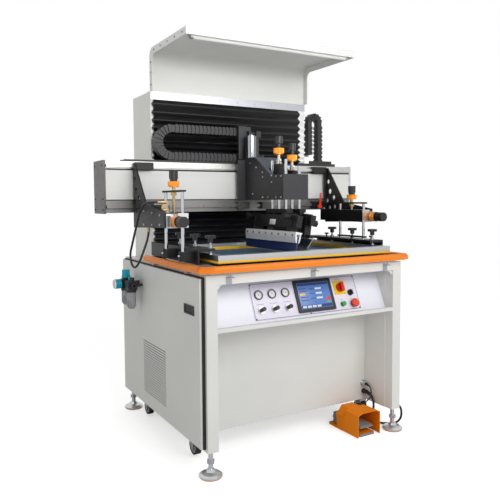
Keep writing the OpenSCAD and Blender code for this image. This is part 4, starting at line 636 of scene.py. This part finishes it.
def panel_place(x, s, out=0):
    """Place of a piece worked flat and set on the operator's plate, x across and s up its slope."""
    lean_s, lean_c = math.sin(SLOPE_LEAN), math.cos(SLOPE_LEAN)
    rise = PLATE + out
    origin = (x, SLOPE_Y + s * lean_s - rise * lean_c, SLOPE_Z + s * lean_c + rise * lean_s)
    return place_on(origin, (1, 0, 0), (0, lean_s, lean_c))


def panel_disc(x, s, radius, low, high=99):
    def test(c, n):
        across, up, out = on_panel(c)
        return math.hypot(across - x, up - s) <= radius and low <= out <= high
    return test


def panel_box(x, s, w, h, low, high=99):
    def test(c, n):
        across, up, out = on_panel(c)
        return abs(across - x) <= w / 2 and abs(up - s) <= h / 2 and low <= out <= high
    return test


def leaned(x, z, angle, test):
    """A test on face centres given in a leaning piece's own drawing, about its pivot at x and z."""
    s, c = math.sin(math.radians(angle)), math.cos(math.radians(angle))

    def turned_test(p, n):
        dx, dz = p[0] - x, p[2] - z
        return test((dx * c - dz * s, p[1], dx * s + dz * c), n)
    return turned_test


# Nodes of one finish
PLAIN = {
    "base_frame": cabinet_coat, "console": console_coat_painted_led_light, "door_latch": black_anodised,
    "safety_rim": orange_coat, "vacuum_table": table_aluminium, "castor_forks": zinc,
    "vacuum_blower": grey_casting, "main_switch": red_plastic, "selector": knob_plastic,
    "regulator_knobs": knob_plastic, "chain_upper": chain_plastic, "chain_bend": chain_plastic,
    "lift_chain": chain_plastic, "flood_blade": steel_sheet, "lock_lever": lever_red,
    "screen_frame": frame_aluminium, "air_unit_knob": cyan_plastic, "pedal": grey_plastic}


def finish_cabinet():
    finish("tower", cabinet_coat, (trim_aluminium, within(y=(700, 721.9), z=(1636.5, 1675.5))))
    finish("hood", cabinet_coat,
           (dark_steel, within(x=(469.7, 480))), (dark_steel, within(x=(-480, -469.7))),
           (zinc, within(x=(438, 444), y=(290, 325), z=(1850, 1881))),
           (zinc, within(x=(-444, -438), y=(290, 325), z=(1850, 1881))))
    finish("cabinet_panels", cabinet_coat,
           (black_plastic, both_of(near(461, 0, 150, 12.5, "y"), within(y=(150, 194.9)))),
           (machined, both_of(near(457, 0, 192, 16, "y"), within(y=(150, 194.9)))),
           (zinc, within(y=(-40, -0.2))), (zinc, within(x=(-600, -523.3))),
           (zinc, within(x=(526.2, 600))))
    finish("hood_lamp", tube_glow, (machined, within(x=(424, 440))), (machined, within(x=(-440, -424))),
           (cabinet_coat, within(z=(1862, 1900))))
    finish("side_door", door_coat_painted_shade, (black_plastic, within(x=(-550, -544.5))),
           (black_plastic, both_of(within(x=(-546, -529), y=(70, 166)), within(z=(660, 702)))),
           (rubber, within(x=(-535.5, -523.2), y=(0, 19.9))),
           (rubber, within(x=(-535.5, -523.2), z=(818.1, 840))),
           (rubber, within(x=(-529.4, -523.2), y=(27, 963), z=(129, 811))),
           (zinc, within(y=(970.1, 1000))))
    finish("levelling_feet", chrome, (orange_coat, within(z=(-1, 4.9))),
           (machined, within(z=(4.9, 24))), (zinc, within(z=(57, 73))))
    for name, y in (("front_castor_wheels", 230), ("rear_castor_wheels", 800)):
        finish(name, rubber, (grey_plastic, near(0, y, 49.5, 28.6, "x")))
    finish("electrical_plate", zinc,
           (grey_casting, within(x=(-300, -215))), (terminal_green, within(z=(340, 430))))
    finish("lift_guides", chrome, (dark_steel, within(z=(829, 845))))


def finish_panel():
    finish("control_panel", panel_steel,
           *[(black_plastic, panel_disc(x, s, 21.6, 0.01)) for x, s in GAUGES],
           *[(black_plastic, panel_disc(x, s, 18, -60, -0.01)) for x, s in GAUGES],
           *[(machined, panel_disc(x, s, 16.5, 0.01)) for x, s in REGULATORS],
           (machined, panel_disc(*START, 15, 0.01)),
           *[(black_plastic, panel_disc(x, s, 15, 0.01)) for x, s in (SELECTOR, STOP)],
           (yellow_plastic, panel_box(*MAIN, 66, 66, 0.01)))
    finish("touch_screen", black_plastic, (glass_screen, panel_box(*SCREEN, 180, 124, 5.5, 7.2)))
    finish("stop_button", stop_red, (black_plastic, panel_disc(*STOP, 6.5, -20, 9.9)))
    finish("start_button", green_plastic, (black_plastic, panel_disc(*START, 6.5, -20, 7.9)))


def finish_beam():
    face, front = (560, 574.9), (560, 580.9)
    finish("beam", beam_lacquer,
           (dark_steel, within(x=(-770, -748.1))), (machined, within(x=(680.1, 700))),
           (black_plastic, within(y=(575.1, front[1]), z=(1273.05, 1280.9))),
           (dark_steel, within(y=(575.1, front[1]), z=(1131.05, 1136.9))),
           (lower_rail, within(y=face, z=(1060, 1131))),
           (rail_aluminium, within(y=face, z=(1131, 1330))),
           (rail_aluminium, within(y=front, z=(1280.9, 1316))),
           (lower_rail, within(y=front, z=(1074, 1131.1))),
           (rail_aluminium, within(y=(500, 690), z=(1314, 1315.15))),
           (black_plastic, within(y=(633, 722), z=(1250, 1360), x=(-641, 661))))
    finish("lift_plate", grey_casting,
           (chrome, both_of(near(0, 790, 0, 26, "z"), within(z=(800, 1200)))),
           (black_anodised, within(x=(600, 690), y=(707.5, 900))))
    finish("carriage", graphite,
           (machined, within(x=(-40, -30.1))),
           (blue_steel, within(x=(-21.9, 101.9), y=(301, 536.5), z=(1245, 1345))),
           (black_plastic, within(x=(27, 100), y=(590, 633), z=(1345.1, 1500))),
           (dark_steel, within(y=(549.1, 576), z=(1084, 1122))),
           (dark_steel, within(y=(549.1, 576), z=(1274, 1312))))
    finish("head_cylinders", black_anodised, (polished_steel, within(z=(1345, 1480))),
           (brass, both_of(within(z=(1270.9, 1340)), lambda c, n: n.z > 0.9)))


def knob_stack(name, base, orange, black, axis="z"):
    """Brass stem, orange lock ring and black knob; orange and black are spans along the axis."""
    finish(name, base, (orange_ring, within(**{axis: orange})), (knob_plastic, within(**{axis: black})))


# Where the squeegee's holder turns, x and z, and how far it leans
SQUEEGEE_PIVOT = (12, 1043)
SQUEEGEE_LEAN = 11


def finish_head():
    for name in ("squeegee_mount", "flood_mount"):
        finish(name, black_anodised,
               (chrome, both_of(near(0, 0, 0, 8.6, "y"), within(z=(1087.5, 1400)))),
               *[(chrome, within(y=(y - 8.6, y + 8.6), z=(1087.5, 1400))) for y in (230, 290, 350)])
    screw_y = [127 + i * 58 for i in range(8)]

    def on_screw(c, n):
        return c[0] < -14.8 and any(math.hypot(c[1] - y, c[2] + 78) < 5.2 for y in screw_y)

    x, z = SQUEEGEE_PIVOT
    finish("squeegee_blade", holder_aluminium,
           (blade_rubber, leaned(x, z, SQUEEGEE_LEAN, within(x=(-4.4, 4.4), z=(-170, -91)))),
           (bronze_screw, leaned(x, z, SQUEEGEE_LEAN, on_screw)))
    knob_stack("squeegee_knob", brass, (1347.2, 1375.9), (1375.9, 1450))
    knob_stack("flood_knob", brass, (1317.2, 1345.9), (1345.9, 1420))


def finish_arms():
    for name, plate in (("left_arm", within(x=(-613.5, -500), y=(140, 199.9), z=(1000, 1090))),
                        ("right_arm", within(x=(380, 497.5), y=(140, 199.9), z=(1000, 1090)))):
        finish(name, black_anodised, (machined, plate),
               (machined, within(x=(-640, -622.1))), (machined, within(x=(506.1, 520))),
               (bronze_screw, within(x=(-625, -580), y=(210, 236.9), z=(1080, 1135))),
               (bronze_screw, within(x=(-615, -595), y=(400, 416), z=(1000, 1018))))
    for name, x in (("left_clamp", -548), ("right_clamp", 432)):
        finish(name, black_anodised,
               *[(chrome, both_of(near(x, y, 0, 7.4, "z"), within(z=(924, 1165.5))))
                 for y in (165, 345)],
               (machined, within(x=(-640, -566.2), y=(150, 360), z=(890, 912))))
    for name in ("left_clamp_screws", "right_clamp_screws"):
        finish(name, zinc, (knob_plastic, within(z=(953, 999))))
    for name, top in (("left_height_knob", 1166), ("right_height_knob", 1108)):
        knob_stack(name, brass, (top + 21.9, top + 46), (top + 46, top + 120))
    for name in ("left_feed_knob", "right_feed_knob"):
        knob_stack(name, brass, (110.7, 148), (40, 111.8), "y")
    finish("air_unit", black_plastic,
           (bowl_grey, within(z=(590, 682.9))),
           (dial_white, within(x=(-665, -655.9), y=(735, 790))),
           (cyan_plastic, within(x=(-657, -625.9), y=(735, 790), z=(690, 745))),
           (cyan_plastic, within(z=(739.5, 757), y=(698, 720))))


def finish_foot_switch():
    finish("foot_switch", guard_orange,
           (grey_plastic, within(z=(-1, 11.9), x=(272, 403))),
           (grey_plastic, within(x=(293, 382), y=(166.9, 228), z=(11, 62.1))),
           (black_plastic, within(y=(208, 250), z=(17.9, 30.1), x=(319, 332))),
           (machined, both_of(near(0, 145, 40, 4.2, "x"), within(x=(273.1, 401.9)))))


def declare_cord(obj, nodes, body, points, with_pieces):
    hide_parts(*nodes)
    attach(obj, body)
    at(*points[0])
    for piece in with_pieces:
        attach(piece, body)


def place_cords():
    power = smooth_cord("mains_lead", POWER_ROUTE, POWER_D, cord_black)
    power_ends = [boot("mains_gland_boot", POWER_ROUTE[:5], 19, 12.6, 7, rubber),
                  boot("mains_entry_boot", POWER_ROUTE[:-5:-1], 20, 12.8, 5, rubber)]
    hose = smooth_cord("air_line", HOSE_ROUTE, HOSE_D, cord_black)
    hose_ends = [boot("air_line_valve_end", HOSE_ROUTE[:3], 15, 14, 3, brass),
                 boot("air_line_lower_end", HOSE_ROUTE[:-3:-1], 15, 14, 3, brass)]
    whole = FOOT_ROUTE + hank_turns(38, 8) + SWITCH_ROUTE
    flex = smooth_cord("foot_switch_lead", whole, FLEX_D, cord_black)
    flex_ends = [boot("foot_lead_plug_boot", FOOT_ROUTE[:3], 14, 7.6, 6, rubber),
                 boot("foot_lead_switch_boot", SWITCH_ROUTE[:-5:-1], 11, 7.4, 6, rubber),
                 hank_tie()]
    declare_cord(power, ["power_cord"], "cabinet", POWER_ROUTE, power_ends)
    declare_cord(hose, ["air_hose"], "arm_l", HOSE_ROUTE, hose_ends)
    declare_cord(flex, ["foot_cord", "cord_hank"], "cabinet", FOOT_ROUTE,
                 flex_ends)


def hank_tie():
    """Soft tie wound once round the middle of the hank."""
    cx, cy = HANK_MIDDLE
    reach, low, high = HANK_BEND + FLEX_D / 2 + 2.2, 3.6, 42.5
    deselect()
    middle = (cx, cy, (low + high) / 2)
    bpy.ops.mesh.primitive_cylinder_add(vertices=32, radius=1, depth=9, end_fill_type="NOTHING",
                                        location=middle, rotation=(0, math.pi / 2, 0))
    tie = bpy.context.object
    tie.scale = ((high - low) / 2, reach, 1)
    bpy.ops.object.transform_apply(location=True, rotation=True, scale=True)
    thicken(tie, 1.2)
    soften(tie, 0.4)
    tie.data.transform(IN_DRAWING)
    tie.name = "hank_tie"
    tie.data.materials.append(rubber)
    return tie


# Fine pieces on the operator's plate
def ring(inner, outer, low, high):
    """Flat ring about zero, from one height to another."""
    deselect()
    bpy.ops.mesh.primitive_circle_add(vertices=64, radius=outer, fill_type="NGON",
                                      location=(0, 0, low))
    obj = bpy.context.object
    bpy.ops.object.transform_apply(location=True, rotation=False, scale=False)
    pick_faces(obj, lambda c, n: True)
    bpy.ops.mesh.inset(thickness=outer - inner, depth=0)
    bpy.ops.mesh.delete(type="FACE")
    bpy.ops.mesh.select_all(action="SELECT")
    bpy.ops.mesh.extrude_region_move(TRANSFORM_OT_translate={"value": (0, 0, high - low)})
    bpy.ops.mesh.select_all(action="SELECT")
    bpy.ops.mesh.remove_doubles(threshold=0.0001)
    bpy.ops.mesh.normals_make_consistent(inside=False)
    bpy.ops.object.mode_set(mode="OBJECT")
    return obj


def number(words, size, x, y, z):
    """Plain printed number, worked flat and made a mesh."""
    deselect()
    bpy.ops.object.text_add(location=(0, 0, 0))
    obj = bpy.context.object
    obj.data.body = words
    obj.data.size = size
    obj.data.align_x = "CENTER"
    obj.data.align_y = "CENTER"
    obj.data.extrude = 0.06
    obj.data.resolution_u = 3
    bpy.ops.object.convert(target="MESH")
    obj = bpy.context.object
    obj.data.transform(Matrix.Translation((x, y, z)))
    return obj


DIAL_SWEEP = 135


def add_dial(name, body, place, radius, reading):
    """Gauge face: white plate, scale with its numbers, needle and hub; zero is the recess' floor."""
    plate = soften(rod((0, 0, 0.05), (0, 0, 0.75), radius, 64), 0.15)
    settle(plate, name + "_plate", body, dial_white, place)
    settle(ring(radius * 0.86, radius * 0.93, 0.75, 0.87), name + "_band", body, scale_violet, place)
    marks = []
    for i in range(31):
        long = i % 5 == 0
        mark = block((-0.28 if long else -0.14, radius * (0.66 if long else 0.74), 0.75),
                     (0.28 if long else 0.14, radius * 0.85, 0.86))
        marks.append(turned(mark, DIAL_SWEEP - i * 2 * DIAL_SWEEP / 30))
    settle(united(marks), name + "_scale", body, scale_black, place)
    digits = []
    for i in range(7):
        angle = math.radians(90 + DIAL_SWEEP - i * 2 * DIAL_SWEEP / 6)
        digits.append(number(str(2 * i), radius * 0.2, radius * 0.52 * math.cos(angle),
                             radius * 0.52 * math.sin(angle), 0.8))
    settle(united(digits), name + "_numbers", body, scale_black, place)
    needle = block((-0.55, -radius * 0.22, 1.0), (0.55, radius * 0.74, 1.3))
    pick_faces(needle, lambda c, n: n.y > 0.9)
    bpy.ops.transform.resize(value=(0.15, 1, 1))
    bpy.ops.object.mode_set(mode="OBJECT")
    turned(needle, DIAL_SWEEP - reading * 2 * DIAL_SWEEP)
    settle(needle, name + "_needle", body, needle_red, place)
    hub = soften(rod((0, 0, 0.75), (0, 0, 1.9), radius * 0.13, 24), 0.3)
    settle(hub, name + "_hub", body, scale_black, place)


def add_screen_page():
    """What the touch screen shows: a plain page of fields and keys."""
    place = panel_place(*SCREEN, 7)
    page = soften(block((-88.5, -60.3, 0.04), (88.5, 60.3, 0.22)), 0.05)
    settle(page, "screen_page", "cabinet", screen_blue, place)
    bars = [block((-86, 47, 0.22), (86, 58, 0.32)), block((-86, -58, 0.22), (86, -44, 0.32))]
    settle(united(bars), "screen_bars", "cabinet", screen_deep, place)
    fields = [block((8, y, 0.22), (42, y + 9, 0.36)) for y in (-18, 4, 26)]
    fields += [block((-80 + 27 * i, -56, 0.32), (-58 + 27 * i, -46, 0.44)) for i in range(4)]
    settle(united([soften(f, 0.04) for f in fields]), "screen_fields", "cabinet", screen_pale, place)
    names = [block((-26, y + 3, 0.22), (0, y + 6, 0.3)) for y in (-18, 4, 26)]
    names += [block((-80, y, 0.22), (-44 + 4 * i, y + 3, 0.3)) for i, y in enumerate((32, 20, -8, -22))]
    settle(united(names), "screen_names", "cabinet", screen_deep, place)
    for name, low, high, material in (("pale", (-80, 2), (-52, 13), screen_mark),
                                      ("red", (62, -30), (84, -14), stop_red),
                                      ("lit", (62, -40), (84, -32), screen_lit)):
        key = soften(block((*low, 0.22), (*high, 0.36)), 0.04)
        settle(key, "screen_key_" + name, "cabinet", material, place)


SELECTOR_TOP = 27.05


def edge_line(x0, s0, x1, s1, wide, high):
    """Four bars of a printed border between two corners, wide across and high out of the plate."""
    return [block((x0, s0, 0), (x1, s0 + wide, high)), block((x0, s1 - wide, 0), (x1, s1, high)),
            block((x0, s0 + wide, 0), (x0 + wide, s1 - wide, high)),
            block((x1 - wide, s0 + wide, 0), (x1, s1 - wide, high))]


def add_panel_print():
    """Border printed round the operator's plate, short rules under its fittings, and its screws."""
    place = panel_place(0, 0)
    border = united(edge_line(-263.5, 18.5, 317.5, 179.5, 2.2, 0.16))
    settle(border, "panel_border", "cabinet", border_violet, place)
    under = [(x, 86, 40) for x, _ in GAUGES] + [(220, 168, 26), (217, 69, 12), (280, 68, 12)]
    rules = [block((x - w / 2, s, 0), (x + w / 2, s + 1.3, 0.14)) for x, s, w in under]
    settle(united(rules), "panel_rules", "cabinet", border_violet, place)
    ticks = []
    for angle in (-45, 0, 45):
        tick = turned(block((-0.4, 19, 0), (0.4, 23, 0.14)), angle)
        tick.data.transform(Matrix.Translation((*SELECTOR, 0)))
        ticks.append(tick)
    settle(united(ticks), "selector_marks", "cabinet", border_violet, place)
    screws = []
    for x, s in itertools.product((-258, 27, 312), (23, 175)):
        head = soften(rod((x, s, 0), (x, s, 2.2), 3.4, 20, 2.6), 0.4)
        screws.append(sink(head, lambda c, n: n.z > 0.9 and c.z > 2.1, 1.3, 0.9))
    settle(united(screws), "panel_screws", "cabinet", scale_violet, place)
    mark = turned(soften(block((-1.1, 3, 0), (1.1, 13.5, 0.3)), 0.1), 30)
    top = panel_place(*SELECTOR, SELECTOR_TOP)
    settle(mark, "selector_line", "selector_knob", dial_white, top)


def add_dials():
    for i, ((x, s), reading) in enumerate(zip(GAUGES, (0.36, 0.42, 0.3))):
        add_dial("gauge_%d" % (i + 1), "cabinet", panel_place(x, s, 3.0), 17.2, reading)
    air = place_on((-660.35, 762, 717), (0, -1, 0), (0, 0, 1))
    add_dial("air_gauge", "door", air, 20.5, 0.45)


# Pleated covers of the beam's way, the screen's cloth and its tape
def pleat_edge(i, count, ratio):
    """Height of a pleat's lower edge, as a share of the whole; ratio is top pleat over bottom one."""
    return (i + (ratio - 1) * i * (i - 1) / (2 * (count - 1))) / (count * (ratio + 1) / 2)


BACK_Y = 721
VALLEY_Y = 712
VALLEY_X = 453
PLEAT_DEPTH = 10.4
HEM_X = 434
PLEAT_SHAPE = ((0.06, 0.1), (0.25, 0.52), (0.44, 0.93), (0.5, 1.0),
               (0.56, 0.93), (0.75, 0.52), (0.94, 0.1))
COVER_COLUMNS = 26


def pleated_cover(name, low, high, count, ratio, hem):
    """Folded cloth across the tower's front, with returns at both ends, open at its back and rims."""
    levels = []
    for i in range(count + 1):
        z = low + (high - low) * pleat_edge(i, count, ratio)
        levels.append((z, VALLEY_Y, VALLEY_X))
        if i < count:
            span = low + (high - low) * pleat_edge(i + 1, count, ratio) - z
            for share, out in PLEAT_SHAPE:
                reach = PLEAT_DEPTH * out
                levels.append((z + span * share, VALLEY_Y - reach, VALLEY_X + reach))
    points, faces = [], []
    columns = COVER_COLUMNS
    for z, y, x in levels:
        row = [(-x, BACK_Y - 1, z), (-x, (y + BACK_Y) / 2, z)]
        for j in range(columns + 1):
            slack = 0.7 * math.sin(math.pi * j / columns) * math.sin(j * 1.7 + z * 0.3)
            row.append((-x + 2 * x * j / columns, y + slack, z))
        row += [(x, (y + BACK_Y) / 2, z), (x, BACK_Y - 1, z)]
        points += row
    wide = columns + 5
    for i in range(len(levels) - 1):
        for j in range(wide - 1):
            a = i * wide + j
            faces.append((a, a + 1, a + wide + 1, a + wide))
    data = bpy.data.meshes.new(name)
    data.from_pydata(points, [], faces)
    obj = bpy.data.objects.new(name, data)
    bpy.context.collection.objects.link(obj)
    data.materials.append(bellows_cloth)
    data.materials.append(bellows_hem)
    for face in data.polygons:
        face.material_index = 1 if hem and face.center.x > HEM_X else 0
    thicken(obj, 0.9)
    obj.data.transform(IN_DRAWING)
    pick(obj)
    bpy.ops.object.shade_smooth_by_angle(angle=math.radians(40))
    return obj


def add_covers():
    for name, low, high, count, ratio, hem in (("upper_cover", 1315.5, 1635.4, 10, 2, True),
                                               ("lower_cover", 830.5, 1074.5, 8, 1, False)):
        cover = pleated_cover(name, low, high, count, ratio, hem)
        node_name = "upper_bellows" if hem else "lower_bellows"
        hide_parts(node_name)
        edges = [(high - low) * pleat_edge(i, count, ratio) for i in range(count + 1)]
        unfolded = sum(2 * math.hypot(PLEAT_DEPTH, (b - a) / 2) for a, b in zip(edges, edges[1:]))
        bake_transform(cover)


def add_chain_run():
    """The chain's upper run: a copy of the imported one, with its doubled points merged, shown in its
    place.
    """
    pick(bpy.data.objects["chain_upper"])
    bpy.ops.object.duplicate()
    run = bpy.context.object
    bpy.ops.object.parent_clear(type="CLEAR_KEEP_TRANSFORM")
    run.name = run.data.name = "chain_run"
    bpy.ops.object.mode_set(mode="EDIT")
    bpy.ops.mesh.select_all(action="SELECT")
    bpy.ops.mesh.remove_doubles(threshold=0.00001)
    bpy.ops.object.mode_set(mode="OBJECT")
    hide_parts("chain_upper")
    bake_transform(run)


def add_screen_cloth():
    """Printing cloth stretched over the frame's underside, glued to its bars."""
    low, high = (drawn(p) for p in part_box("screen_mesh"))
    deselect()
    bpy.ops.mesh.primitive_grid_add(x_subdivisions=24, y_subdivisions=18, size=1,
                                    location=[(a + b) / 2 for a, b in zip(low, high)])
    cloth = bpy.context.object
    cloth.scale = (high.x - low.x, high.y - low.y, 1)
    bpy.ops.object.transform_apply(location=True, rotation=False, scale=True)
    for point in cloth.data.vertices:
        u = (point.co.x - low.x) / (high.x - low.x)
        v = (point.co.y - low.y) / (high.y - low.y)
        point.co.z -= 0.05 * math.sin(math.pi * u) * math.sin(math.pi * v)
    thicken(cloth, min(0.3, high.z - low.z))
    settle(cloth, "screen_cloth", "screen", mesh_cloth)
    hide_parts("screen_mesh")


FRAME_BAR = 35


def add_frame_tape():
    """Yellow tape along the lower edge of the screen frame's outer faces and of its opening."""
    low, high = (drawn(p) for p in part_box("screen_frame"))
    t, foot, top = 0.22, low.z + 0.6, low.z + 10
    bands = [block((low.x - t, low.y - t, foot), (high.x + t, low.y - 0.01, top)),
             block((low.x - t, low.y, foot), (low.x - 0.01, high.y, top)),
             block((high.x + 0.01, low.y, foot), (high.x + t, high.y, top))]
    x0, x1 = low.x + FRAME_BAR, high.x - FRAME_BAR
    y0, y1 = low.y + FRAME_BAR, high.y - FRAME_BAR
    bands += [block((x0, y1 - t, foot), (x1, y1 - 0.01, top + 6)),
              block((x1 - t, y0, foot), (x1 - 0.01, y1, top + 6)),
              block((x0 + 0.01, y0, foot), (x0 + t, y1, top + 6))]
    settle(united([soften(b, 0.05) for b in bands]), "frame_edge_tape", "screen", frame_tape)


def add_head_fittings():
    """Small bright pins and brass nuts on the carriage's dark cylinders."""
    nuts, pins = [], []
    for x, top in ((12, 1301), (88, 1271)):
        for y in (274, 306):
            nut = rod((x, y, top + 0.1), (x, y, top + 8), 5.2, 6)
            nuts.append(soften(nut, 0.5))
            pins.append(soften(rod((x, y, top + 8), (x, y, top + 24), 2.4, 16), 0.5))
    settle(united(nuts), "cylinder_nuts", "carriage_group", brass)
    settle(united(pins), "cylinder_pins", "carriage_group", chrome)
    x, z = SQUEEGEE_PIVOT
    plate = block((x - 16.4, 292, z - 34), (x - 15.05, 342, z - 8))
    plate = turned(soften(plate, 0.3), SQUEEGEE_LEAN, "Y", (x, 0, z))
    settle(plate, "holder_plate", "squeegee", holder_aluminium)


# Studio
def add_stage():
    """White floor that glows a little, to the camera alone, so that it meets the white background."""
    deselect()
    bpy.ops.mesh.primitive_plane_add(size=14, location=(0, 0, 0))
    floor = bpy.context.object
    floor.name = "floor"
    paint = surface("floor_paint", (250, 250, 250), 0.8)
    shader, output = (paint.node_tree.nodes[n] for n in ("Principled BSDF", "Material Output"))
    glow = node(paint, "ShaderNodeEmission", Strength=0.5)
    seen = node(paint, "ShaderNodeLightPath")
    added = node(paint, "ShaderNodeAddShader")
    chosen = node(paint, "ShaderNodeMixShader")
    join(paint, shader, 0, added, 0)
    join(paint, glow, 0, added, 1)
    join(paint, seen, "Is Camera Ray", chosen, "Fac")
    join(paint, shader, 0, chosen, 1)
    join(paint, added, 0, chosen, 2)
    join(paint, chosen, 0, output, "Surface")
    floor.data.materials.append(paint)


def soft_light(name, location, target, size, watts):
    """Area light of a size in metres, aimed at a target."""
    data = bpy.data.lights.new(name, "AREA")
    data.shape = "RECTANGLE"
    data.size, data.size_y = size
    data.energy = watts
    lamp = bpy.data.objects.new(name, data)
    lamp.location = location
    lamp.rotation_euler = (Vector(target) - Vector(location)).to_track_quat("-Z", "Y").to_euler()
    bpy.context.collection.objects.link(lamp)
    return lamp


# How brightly the surroundings light the machine; seen or mirrored, they stay white
AMBIENT = 0.47


def add_light():
    world = bpy.data.worlds.new("studio")
    bpy.context.scene.world = world
    world.use_nodes = True
    back = world.node_tree.nodes["Background"]
    back.inputs["Color"].default_value = (1, 1, 1, 1)
    path = node(world, "ShaderNodeLightPath")
    first = node(world, "ShaderNodeMath", operation="MAXIMUM")
    second = node(world, "ShaderNodeMath", operation="MAXIMUM")
    span = node(world, "ShaderNodeMapRange", **{"To Min": AMBIENT, "To Max": 1.0})
    join(world, path, "Is Camera Ray", first, 0)
    join(world, path, "Is Glossy Ray", first, 1)
    join(world, first, 0, second, 0)
    join(world, path, "Is Transmission Ray", second, 1)
    join(world, second, 0, span, "Value")
    join(world, span, "Result", back, "Strength")
    soft_light("front_box", (0.5, -3.4, 2.6), (0.1, 0, 0.9), (2.6, 2.2), 62)
    soft_light("side_box", (-3.2, -0.6, 2.4), (0, 0, 1.0), (2.0, 2.4), 10)
    upper = soft_light("upper_box", (-0.5, -2.6, 1.9), (0, 0.2, 1.5), (1.6, 0.5), 3.2)
    upper.data.spread = math.radians(50)
    bpy.context.scene.view_settings.view_transform = "Standard"


add_camera()
place_cords()
for plain, coat in PLAIN.items():
    finish(plain, coat)
finish_cabinet()
finish_panel()
finish_beam()
finish_head()
finish_arms()
finish_foot_switch()
add_dials()
add_screen_page()
add_panel_print()
add_covers()
add_chain_run()
add_screen_cloth()
add_frame_tape()
add_head_fittings()
add_stage()
add_light()
